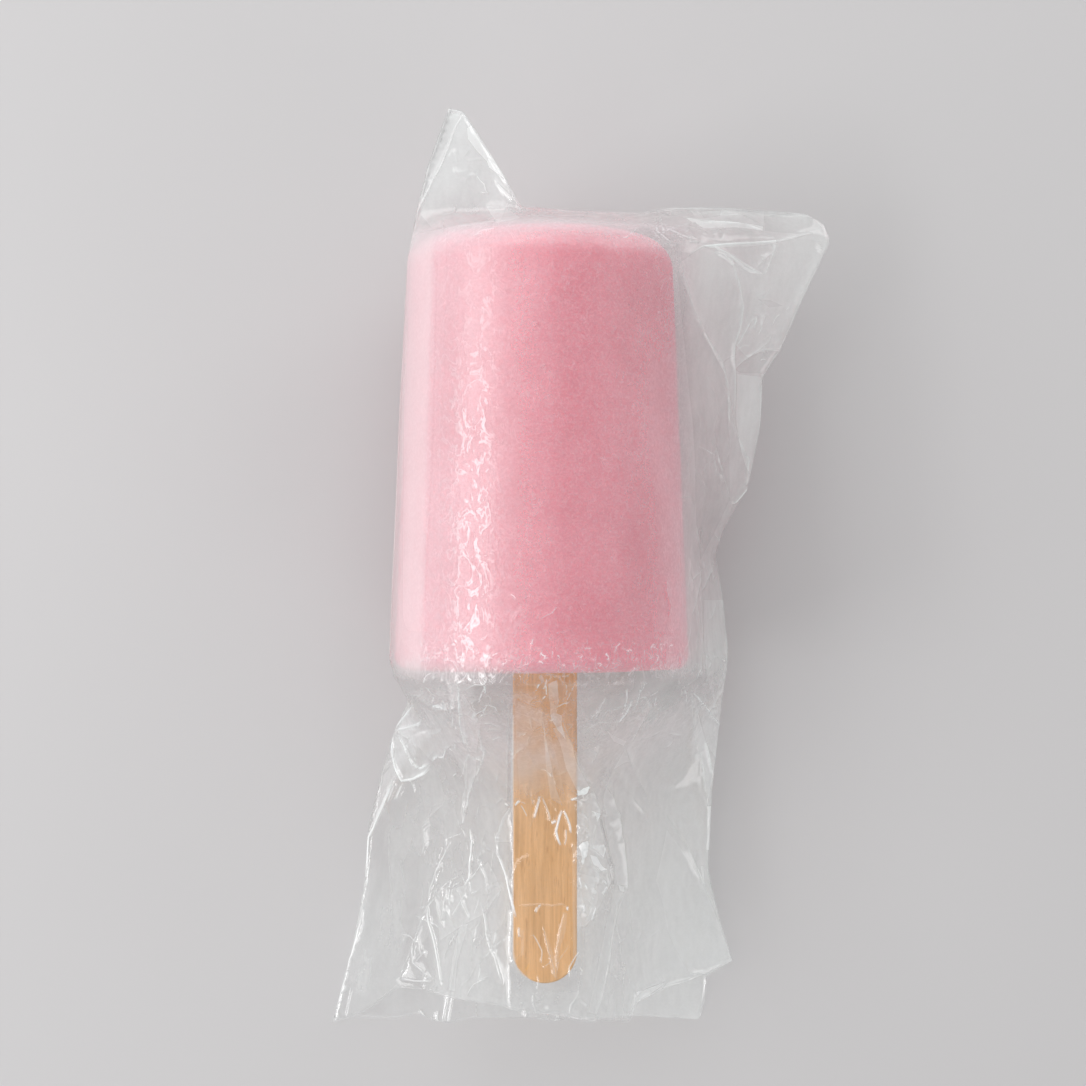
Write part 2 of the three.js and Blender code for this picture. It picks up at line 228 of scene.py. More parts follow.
milk_ice, tree, finish = new_material("milk_ice")
place = node(tree, "TexCoord", out="Object")
clouds = node(tree, "TexNoise", place, Scale=70.0, Detail=4.0, Roughness=0.6)
body = ramp(tree, clouds, (0.35, (0.71, 0.272, 0.332, 1)), (0.68, (0.765, 0.332, 0.395, 1)))
# small dark flecks of fruit
flecks = node(tree, "TexVoronoi", place, Scale=210.0, Randomness=1.0)
fleck_mask = ranged(tree, flecks, 0.05, 0.11, 0.8, 0.0)
chance = node(tree, "SeparateColor", flecks.node.outputs["Color"], out="Red")
fleck_share = maths(tree, "MULTIPLY", fleck_mask, maths(tree, "GREATER_THAN", chance, 0.86))
flecked = blend(tree, fleck_share, body, (0.58, 0.16, 0.22, 1))
# frost that dusts the grain, thickest at both ends
speckle = node(tree, "TexNoise", place, Scale=2600.0, Detail=2.0, Roughness=0.6)
dust = ranged(tree, speckle, 0.45, 0.75, 0.0, 0.3)
along = node(tree, "SeparateXYZ", place, out="Y")
far_end = ranged(tree, along, 28.5 * MM, 34.6 * MM, 0.0, 0.8, "SMOOTHSTEP")
near_end = ranged(tree, along, -32.0 * MM, -34.5 * MM, 0.0, 0.4)
frost = maths(tree, "ADD", dust, maths(tree, "ADD", far_end, near_end), use_clamp=True)
feed(tree, finish, {
    "Base Color": blend(tree, frost, flecked, (0.90, 0.66, 0.70, 1)),
    "Roughness": 0.55,
    "Subsurface Weight": 0.9,
    "Subsurface Radius": (1.0, 0.55, 0.58),
    "Subsurface Scale": 8 * MM,
    "Normal": node(tree, "Bump", Strength=0.35, Distance=0.15 * MM, Height=speckle),
})
ice.data.materials.clear()
ice.data.materials.append(milk_ice)
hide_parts("ice")
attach(ice, "root")


# Stick: a flat birch pop stick, stamped from veneer, with round ends and tumbled edges. Its far
# half is frozen into the ice.
STICK_WIDTH = 10 * MM
STICK_THICKNESS = 2 * MM
STICK_EDGE = 0.35 * MM
STICK_OFFSET = 0.5 * MM
stick_low, stick_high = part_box("stick")
stick_length = (stick_high.y - stick_low.y) / math.cos(TAPER) - STICK_THICKNESS * math.tan(TAPER)
stick_middle = (stick_high.y + stick_low.y) / 2

bpy.ops.object.select_all(action="DESELECT")
bpy.ops.mesh.primitive_circle_add(vertices=64, radius=STICK_WIDTH / 2, fill_type="NGON")
stick = bpy.context.active_object
stick.name = "birch_stick"
shape = bmesh.new()
shape.from_mesh(stick.data)
for vertex in shape.verts:
    vertex.co.y += math.copysign((stick_length - STICK_WIDTH) / 2, vertex.co.y)
    vertex.co.z = -STICK_THICKNESS / 2
pushed = bmesh.ops.extrude_face_region(shape, geom=shape.faces[:])
top = [v for v in pushed["geom"] if isinstance(v, bmesh.types.BMVert)]
bmesh.ops.translate(shape, verts=top, vec=(0, 0, STICK_THICKNESS))
bmesh.ops.recalc_face_normals(shape, faces=shape.faces[:])
outline = [e for e in shape.edges if abs(e.verts[0].co.z - e.verts[1].co.z) < STICK_THICKNESS / 2]
bmesh.ops.bevel(shape, geom=outline, offset=STICK_EDGE, segments=4, profile=0.5, affect="EDGES")
shape.to_mesh(stick.data)
shape.free()
stick.data.transform(LYING @ Matrix.Translation((STICK_OFFSET, stick_middle, 0)))
bpy.ops.object.shade_smooth_by_angle(angle=math.radians(40))

birch, tree, finish = new_material("birch")
place = node(tree, "TexCoord", out="Object")
stretch = node(tree, "Mapping", place, Scale=(1.0, 0.035, 1.0))
grain = node(tree, "TexNoise", stretch, Scale=1300.0, Detail=5.0, Roughness=0.6, Distortion=0.3)
wood = ramp(tree, grain, (0.36, (0.62, 0.355, 0.15, 1)), (0.64, (0.82, 0.495, 0.235, 1)))
dashes = node(tree, "Mapping", place, Scale=(1.0, 0.11, 1.0))
pores = ranged(tree, node(tree, "TexNoise", dashes, Scale=3200.0, Detail=1.0), 0.62, 0.74, 0.0, 0.42)
feed(tree, finish, {
    "Base Color": blend(tree, pores, wood, (0.42, 0.20, 0.07, 1)),
    "Roughness": 0.6,
    "Specular IOR Level": 0.3,
    "Normal": node(tree, "Bump", Strength=0.3, Distance=0.1 * MM, Height=grain),
})
stick.data.materials.append(birch)
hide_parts("stick")
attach(stick, "root")


# Bag: one tube of thin clear film, welded shut at the far end and open at the mouth. It lies folded
# flat along two side creases, is pulled tight over the ice, stands as a tent over the stick, and
# its two welded corners stick out past the ice. This base form is worked out in millimetres.
FILM_GAP = 0.3
RIM_CLEARANCE = 0.5
TIP_CLEARANCE = 0.35
DROP_LENGTH = 20
DROP_POWER = 1.3
BACK_DROP_LENGTH = 12
STICK_FOLD_RADIUS = 1.0
STICK_FOLD_REACH = 5.05
FRONT_SAG = 2.5
EDGE_RISE = 8
EAR_PUFF = 0.7
SEAM_LINE = 37.7
PUFF_LINE = 32.5
LOWEST_FILM = 0.08
COLUMNS = 150
MOUTH_ROWS, SIDE_ROWS, TIP_ROWS = 92, 100, 56
EAR_LEFT = (-14.6, 53.8, 22)
EAR_RIGHT = (44.9, 36.4, 16)
MOUTH_LEFT = (-34.7, -93.6, 0.8)
MOUTH_RIGHT = (31.6, -83.4, 1.2)
LEFT_CREASE = (
    MOUTH_LEFT, (-31.7, -82.4, 0.9), (-29.3, -70.7, 1.2), (-28.7, -61.2, 1.8), (-26, -50.6, 4),
    (-24, -44.8, 7), (-21.4, -39.6, 12), (-22.6, -36.4, 16.5), (-24, -32.8, 20.3), (-23.7, -27.2, 21.5),
    (-22.2, 7.8, 21), (-21, 30.3, 20.5), (-19.9, 36.8, 21), (-17.9, 44.8, 21.6), EAR_LEFT,
)
RIGHT_CREASE = (
    MOUTH_RIGHT, (29.4, -76.5, 1.4), (27.5, -68.2, 1.8), (28.1, -54.9, 2.6), (29, -45.7, 4),
    (30.5, -32.2, 6), (29.5, -22.2, 6.5), (28.2, -16.2, 7), (29.6, -11.7, 8), (33.5, -4.6, 10),
    (35.2, 4.8, 12), (35.4, 12.3, 13.3), (38.5, 17.2, 14), (41.5, 24.5, 15.5), (45.9, 33.8, 16.5), EAR_RIGHT,
)
SEAM = (
    EAR_LEFT, (-12.3, 53.4, 22), (-5.8, 43.2, 21.6), (-3.4, 38.6, 21), (4, 38.1, 21),
    (15.5, 37.7, 20.4), (20, 38.6, 19.8), (28.1, 38.8, 18.6), (42, 38.1, 16.6), EAR_RIGHT,
)
FRONT_MOUTH = (
    MOUTH_LEFT, (-31.5, -92.4, 0.9), (-28, -90.3, 1), (-23.5, -86.4, 1.6), (-18.4, -86.1, 1.6),
    (-14.7, -86.6, 1.4), (-6.1, -86, 1.6), (-2.8, -86.7, 1.8), (3, -87.3, 1.8), (8, -88.3, 1.6),
    (14, -90.2, 1.4), (15.2, -87.4, 1.6), (20.9, -86, 1.7), (24.4, -85.5, 1.5), MOUTH_RIGHT,
)
BACK_MOUTH = (
    MOUTH_LEFT, (-31.5, -92.8, 0.4), (-24.4, -93.2, 0.4), (-20.5, -92.3, 0.4), (-18.2, -93.5, 0.4),
    (-15.4, -93.9, 0.4), (-11.9, -93.1, 0.4), (-2, -93, 0.4), (1.9, -93.6, 0.4), (5.5, -93.1, 0.4),
    (8.3, -93.9, 0.4), (10.3, -93, 0.4), (16.3, -92.7, 0.4), (21.6, -93.1, 0.4), (26.2, -93.3, 0.4),
    (27.1, -90, 0.5), (27.4, -86, 0.7), MOUTH_RIGHT,
)

half_ice = ICE_LENGTH / MM / 2
base_radius, tip_radius = ICE_BASE_RADIUS / MM, ICE_TIP_RADIUS / MM
tip_edge_radius = TIP_EDGE_RADIUS / MM
tip_edge_line = half_ice - TIP_DOME / MM - tip_edge_radius
rim_line = -half_ice - RIM_CLEARANCE
axis_height = AXIS_HEIGHT / MM


def run_of(line):
    """How far along a line of points each of them is."""
    return np.concatenate([[0], np.cumsum(np.linalg.norm(np.diff(line, axis=0), axis=1))])


def spaced(line, steps):
    """The same line of points, as steps + 1 points an even distance apart."""
    run = run_of(line)
    even = np.linspace(0, run[-1], steps + 1)
    return np.column_stack([np.interp(even, run, line[:, axis]) for axis in range(line.shape[1])])


def outline_through(points, steps):
    """A line through points with its corners just rounded off, evenly spaced."""
    line = spaced(np.array(points, float), steps)
    eased = np.vstack([line[:1], line[:1], line, line[-1:], line[-1:]])
    eased = (eased[:-4] + 2 * eased[1:-3] + 3 * eased[2:-2] + 2 * eased[3:-1] + eased[4:]) / 9
    eased[0], eased[-1] = line[0], line[-1]
    return spaced(eased, steps)


def mix(a, b, share):
    return a + (b - a) * share


def smooth(value, low, high):
    t = np.clip((value - low) / (high - low), 0, 1)
    return t * t * (3 - 2 * t)


def between(value, start, full, fading, end):
    """1 from full to fading, easing to 0 at start and at end."""
    return smooth(value, start, full) * (1 - smooth(value, fading, end))


def axis_at(y):
    return axis_height - y * math.tan(TAPER)


def wrap_radius(y):
    """Radius at which the film goes round the ice at y, closing to nothing at the seam."""
    straight = mix(base_radius, tip_radius, (y + half_ice) / (2 * half_ice)) + FILM_GAP
    tip_flat = tip_radius - tip_edge_radius
    round_over = tip_edge_radius + FILM_GAP + TIP_CLEARANCE
    past = y - tip_edge_line - TIP_CLEARANCE
    rounded = tip_flat + np.sqrt(np.clip(round_over**2 - past**2, 0, None))
    closing = (past - round_over) / (SEAM_LINE - tip_edge_line - TIP_CLEARANCE - round_over)
    closed = tip_flat * np.clip(1 - closing, 0, None)
    return np.where(past < 0, straight, np.where(past < round_over, np.minimum(straight, rounded), closed))


def tight_height(x, core, left, right, way):
    """Height of film drawn tight over (way 1) or under (way -1) a core from crease to crease."""
    middle, half, radius, height = core
    side = np.where(x < middle, -1, 1)
    crease = np.where((x < middle)[..., None], left, right)
    out = (x - middle) * side - half
    across = (crease[..., 0] - middle) * side - half
    up = (crease[..., 2] - height) * way
    reach = np.maximum(np.maximum(radius, np.hypot(across, up)), 1e-6)
    leaves = np.arctan2(up, across) + np.arccos(np.clip(radius / reach, 0, 1))
    leaves_at = radius * np.cos(leaves)
    on_core = np.sqrt(np.clip(radius**2 - np.clip(out, 0, None) ** 2, 0, None))
    share = np.clip((out - leaves_at) / np.maximum(across - leaves_at, 1e-6), 0, 1)
    free = mix(radius * np.sin(leaves), up, share)
    return height + way * np.where(out < np.maximum(leaves_at, 0), on_core, free)


def front_height(x, y, left, right):
    drop = np.clip((rim_line - y) / DROP_LENGTH, 0, 1)
    high = (1 - drop) ** DROP_POWER
    middle = STICK_OFFSET / MM * (1 - high)
    half = STICK_FOLD_REACH * (1 - high)
    stick_top = axis_at(y) + STICK_THICKNESS / MM / 2 + FILM_GAP
    rim_radius = wrap_radius(np.array(rim_line))
    radius = np.where(drop > 0, mix(STICK_FOLD_RADIUS, rim_radius, high), wrap_radius(y))
    tent_top = mix(stick_top, axis_at(rim_line) + rim_radius, high)
    top = np.where(drop > 0, tent_top, axis_at(np.minimum(y, half_ice)) + radius)
    core = (middle, half, radius, top - radius)
    crease_x = np.where(x < middle, left[..., 0], right[..., 0])
    out = (np.abs(x - middle) - half) / (np.abs(crease_x - middle) - half)
    sag = FRONT_SAG * smooth(rim_line - y, 0, DROP_LENGTH) * np.sin(np.pi * np.clip(out, 0, 1)) ** 2
    return tight_height(x, core, left, right, 1) - sag


def back_height(x, y, left, right):
    core = (0 * y, 0 * y, wrap_radius(y), axis_at(np.minimum(y, half_ice)))
    wrapped = np.maximum(LOWEST_FILM, tight_height(x, core, left, right, -1))
    near_left = np.clip(1 - (x - left[..., 0]) / EDGE_RISE, 0, None) ** 2
    near_right = np.clip(1 - (right[..., 0] - x) / EDGE_RISE, 0, None) ** 2
    flat = LOWEST_FILM + near_left * (left[..., 2] - LOWEST_FILM) + near_right * (right[..., 2] - LOWEST_FILM)
    return mix(wrapped, flat, smooth(rim_line - y, 0, BACK_DROP_LENGTH))


def film_layer(side, columns, fine=360):
    """A layer as rows + 1 by columns + 1 points, from mouth to seam and from left to right crease."""
    left = outline_through(LEFT_CREASE, fine)[:, None]
    right = outline_through(RIGHT_CREASE, fine)[:, None]
    far = outline_through(SEAM, fine)[None]
    near = outline_through(FRONT_MOUTH if side == "front" else BACK_MOUTH, fine)[None]
    v = np.linspace(0, 1, fine + 1)[:, None, None]
    s = np.linspace(0, 1, fine + 1)[None, :, None]
    corners = mix(mix(near[:, :1], near[:, -1:], s), mix(far[:, :1], far[:, -1:], s), v)
    net = mix(near, far, v) + mix(left, right, s) - corners
    x, y = net[..., 0], net[..., 1]
    left, right = np.broadcast_to(left, net.shape), np.broadcast_to(right, net.shape)
    puff = EAR_PUFF * np.sin(np.pi * s[..., 0]) * smooth(y, PUFF_LINE, SEAM_LINE)
    if side == "front":
        height = front_height(x, y, left, right) + puff
    else:
        height = back_height(x, y, left, right) - puff
    net[:-1, 1:-1, 2] = height[:-1, 1:-1]
    rows = np.stack([spaced(row, columns) for row in net])
    layer = []
    for column in rows.transpose(1, 0, 2):
        cuts = [0, *np.interp((rim_line, tip_edge_line), column[:, 1], np.arange(len(column))), fine]
        stretches = []
        for start, end, steps in zip(cuts, cuts[1:], (MOUTH_ROWS, SIDE_ROWS, TIP_ROWS)):
            at = np.concatenate([[start], np.arange(math.floor(start) + 1, math.ceil(end)), [end]])
            piece = np.column_stack([np.interp(at, np.arange(len(column)), column[:, n]) for n in range(3)])
            stretches.append(spaced(piece, steps)[0 if not stretches else 1 :])
        layer.append(np.vstack(stretches))
    return np.stack(layer, axis=1)


front, back = film_layer("front", COLUMNS), film_layer("back", COLUMNS)

# Folds of the film. Each is a straight-sided ridge that was pinched into the film by handling, and
# runs through points given as (across, down) in the camera's square frame, 1086 units a side, from
# far to near or from left to right. Its slopes are the height over the width of the side that faces
# the lights and over that of the side that turns away, and a fine bead runs along its crest. Heights
# and widths are in millimetres.
FRAME = 1086
FOCAL = FRAME / 2 / math.tan(FIELD_OF_VIEW / 2)
UNITS_TO_MM = 0.16
BEAD_REACH = 0.26
BEAD_ROWS = (-1.9, -1, -0.45, 0, 0.45, 1)
STEP = 0.4
RIM_STEPS_ALONG, RIM_STEPS_ACROSS, RIM_STEPS = 300, 170, 330
BORDER_STEP = 3.0
CELL = 0.3
MERGED = 0.03
WHITE_EDGE = 0.3
LIT_FROM = np.array((-0.85, 0.5, 0.15))


def seen_at(points):
    """Where points show in the camera's frame: across to the right, and down."""
    scale = FOCAL / (CAMERA_HEIGHT / MM - points[..., 2])
    across = FRAME / 2 + (points[..., 0] - CAMERA_PLACE[0] / MM) * scale
    down = FRAME / 2 - (points[..., 1] - CAMERA_PLACE[1] / MM) * scale
    return across, down


def place_on(layer, spots):
    """Column and row of a layer at spots of the camera's frame."""
    across, down = seen_at(layer)
    columns = np.arange(layer.shape[1])
    column_at = np.array([np.interp(spots[:, 0], np.maximum.accumulate(row), columns) for row in across])
    down_at = np.array([np.interp(at, columns, row) for at, row in zip(column_at, down)])
    down_at = np.minimum.accumulate(down_at, axis=0)
    after = np.clip((down_at > spots[:, 1]).sum(axis=0), 1, len(down_at) - 1)
    each = np.arange(len(spots))
    before = down_at[after - 1, each]
    share = np.clip((before - spots[:, 1]) / np.maximum(before - down_at[after, each], 1e-9), 0, 1)
    column = mix(column_at[after - 1, each], column_at[after, each], share)
    return np.column_stack([column, after - 1 + share])


def sample(layer, at):
    """Points of a layer, or of anything laid out like it, at (column, row) places."""
    base = np.clip(np.floor(at).astype(int), 0, np.array(layer.shape[1::-1]) - 2)
    c, r = (at - base).T[..., None]
    c0, r0 = base.T
    near = mix(layer[r0, c0], layer[r0, c0 + 1], c)
    return mix(near, mix(layer[r0 + 1, c0], layer[r0 + 1, c0 + 1], c), r)


def unit(vectors):
    return vectors / np.maximum(np.linalg.norm(vectors, axis=-1, keepdims=True), 1e-9)


class Fold:
    """A fold by its height, its widths towards the lights and away from them, the height of its bead
    and the whiteness of its crest, which is partly a painted highlight. Its spots are given as across,
    down, across, down and so on."""

    def __init__(self, height, lit, shaded, bead, white, *spots, edge=None):
        self.height, self.lit, self.shaded, self.bead, self.white = height, lit, shaded, bead, white
        self.spots, self.edge = np.reshape(spots, (-1, 2)).astype(float), edge
        self.crest = 0.4 + 0.55 * white

    def lay(self, layer, normals):
        """Follows the layer in even steps, with the direction across it that faces the lights."""
        if self.edge:
            share = np.linspace(0.002, 0.998, RIM_STEPS)
            self.at = mix(*np.array(self.edge), share[:, None]) * (np.array(layer.shape[1::-1]) - 1)
        else:
            steps = max(2, round(run_of(self.spots)[-1] * UNITS_TO_MM / STEP))
            share = np.linspace(0, 1, steps + 1)
            self.at = place_on(layer, spaced(self.spots, steps))
        self.line = sample(layer, self.at)
        self.across = unit(np.cross(unit(sample(normals, self.at)), unit(np.gradient(self.line, axis=0))))
        self.strength = np.ones(len(self.at))
        if not self.edge:
            self.across *= np.where(self.across @ LIT_FROM < 0, -1, 1)[:, None]
            self.strength = np.minimum(1, 7 * share * (1 - share)) ** 0.6


def crease(white, *spots):
    """A low sharp crease."""
    return Fold(0.14, 0.4, 0.4, 0.1, white, *spots)


def in_outline(spots, ring):
    """Whether each spot of the frame is inside a ring of corners."""
    inside = np.zeros(len(spots), bool)
    for (x1, y1), (x2, y2) in zip(ring, np.roll(ring, -1, axis=0)):
        if y1 != y2:
            crosses = (spots[:, 1] < y1) != (spots[:, 1] < y2)
            inside ^= crosses & (spots[:, 0] < x1 + (spots[:, 1] - y1) * (x2 - x1) / (y2 - y1))
    return inside


def meshed(layer, ways, size, folds, spacing, panels):
    """The (column, row) places of a layer's points, and the triangles between them: the points are on
    its rim, on the beads of its folds, on the borders of its panels, and spread evenly in between."""
    last = np.array(layer.shape[1::-1]) - 1
    unit_ways = [unit(way) for way in ways]
    sides, ends = np.linspace(0, 1, RIM_STEPS_ALONG + 1), np.linspace(0, 1, RIM_STEPS_ACROSS + 1)[1:-1]
    rim = [(side, step) for side in (0, 1) for step in sides]
    rim += [(step, end) for end in (0, 1) for step in ends]
    places = []
    for fold in folds:
        turn = []
        for way, unit_way in zip(ways, unit_ways):
            step = np.linalg.norm(sample(way, fold.at), axis=1)
            turn.append((fold.across * sample(unit_way, fold.at)).sum(axis=1) / step)
        for offset in BEAD_ROWS:
            places.append(fold.at + np.column_stack(turn) * offset * BEAD_REACH)
    places = np.vstack(places)
    places = places[((places > 0.12) & (places < last - 0.12)).all(axis=1)]
    cells = CELL / size
    taken = np.zeros((last / cells).astype(int) + 3, bool)
    for shift in np.ndindex(3, 3):
        at = (places / cells).astype(int) + shift - 1
        taken[tuple(np.clip(at, 0, None).T)] = True
    count = np.round(last * size / spacing).astype(int)
    grid = np.stack(np.meshgrid(*(np.arange(1, n) for n in count), indexing="ij"), -1).reshape(-1, 2)
    grid = (grid + 0.5 * ((grid[:, 1:] % 2) - 0.5) * [1, 0]) / count * last
    grid = grid[~taken[tuple((grid / cells).astype(int).T)]]
    edges, borders, first = [], [], len(rim) + len(places)
    for _, *corners in panels:
        ring = np.reshape([*corners, *corners[:2]], (-1, 2)).astype(float)
        run = run_of(ring)
        stops = np.unique(np.concatenate([run[:-1], np.arange(0, run[-1] - BORDER_STEP / 2, BORDER_STEP)]))
        spots = np.column_stack([np.interp(stops, run, ring[:, n]) for n in (0, 1)])
        borders.append(np.clip(place_on(layer, spots), 0.25, last - 0.25))
        edges += [(first + n, first + (n + 1) % len(stops)) for n in range(len(stops))]
        first += len(stops)
    places = np.vstack([np.array(rim) * last, places, *borders, grid])
    flat = [Vector(p) for p in places * size]
    kept, _, triangles, *_ = delaunay_2d_cdt(flat, edges, [], 0, MERGED, True)
    return np.clip(np.array(kept) / size, 0, last), triangles


def folded(layer, folds, spacing, rim_white, panels=(), swell=None):
    """A layer as points and triangles that follow its folds and panels, with the folds raised on it,
    how white each point is from creasing and from a highlight painted along the crests, and the tone of
    each triangle, which is painted light or shade."""
    last = np.array(layer.shape[1::-1]) - 1
    ways = np.gradient(layer, axis=1), np.gradient(layer, axis=0)
    size = np.array([np.linalg.norm(way, axis=-1).mean() for way in ways])
    normals = unit(np.cross(*ways))
    for fold in folds:
        fold.lay(layer, normals)
    places, triangles = meshed(layer, ways, size, folds, spacing, panels)
    points = sample(layer, places)
    up = unit(sample(normals, places))
    # how far each point is lifted, and how white it is, from the folds near it: the white is partly the
    # whitening that creasing gives film and partly a painted highlight along each crest
    lift, bead, white = np.zeros((3, len(points)))
    for fold in folds:
        reach = max(fold.lit, fold.shaded, BEAD_REACH)
        low, high = fold.line.min(axis=0) - reach, fold.line.max(axis=0) + reach
        near = np.flatnonzero(((points > low) & (points < high)).all(axis=1))
        if not len(near):
            continue
        apart = points[near][:, None] - fold.line[None]
        closest = np.linalg.norm(apart, axis=2).argmin(axis=1)
        gap = apart[np.arange(len(near)), closest]
        away = (gap * fold.across[closest]).sum(axis=1)
        beyond = np.linalg.norm(gap - away[:, None] * fold.across[closest], axis=1)
        strength = fold.strength[closest] * np.clip(1 - (beyond - STEP * 0.6) / STEP, 0, 1)
        width = np.where(away > 0, fold.lit, fold.shaded) * np.maximum(strength, 0.25)
        lift[near] += fold.height * strength * np.clip(1 - np.abs(away) / width, 0, 1)
        pinch = np.clip(1 - (away / BEAD_REACH) ** 2, 0, 1) ** 2 * fold.bead * strength
        bead[near] = np.maximum(bead[near], pinch)
        whitened = np.clip(1.4 - 1.4 * (away / (BEAD_REACH * fold.crest)) ** 2, 0, 1)
        white[near] = np.maximum(white[near], whitened * strength * fold.white)
    if swell:
        lift += swell(points)
    # the rim stays where it is, and is a crease all round, whitened partly as a painted highlight
    to_rim = np.column_stack([places[:, 0], last - places, places[:, 1]]) * size[[0, 0, 1, 1]]
    inwards = to_rim[:, :3].min(axis=1)
    lift = lift * np.clip(inwards / 1.2, 0, 1) + bead * np.clip(inwards / 0.1, 0, 1)
    lift[places[:, 1] < 1e-6] = 0
    white = np.maximum(white, (np.clip(1 - to_rim / WHITE_EDGE, 0, 1) * rim_white).max(axis=1))
    seen = np.column_stack(seen_at(points))[np.array(triangles)].mean(axis=1)
    # each triangle takes the tone of its panels: painted highlight where light, painted shade where dark
    tones = np.zeros(len(triangles))
    for tone, *corners in panels:
        tones += tone * in_outline(seen, np.reshape(corners, (-1, 2)))
    return points + up * lift[:, None], [tuple(t) for t in triangles], white, tones


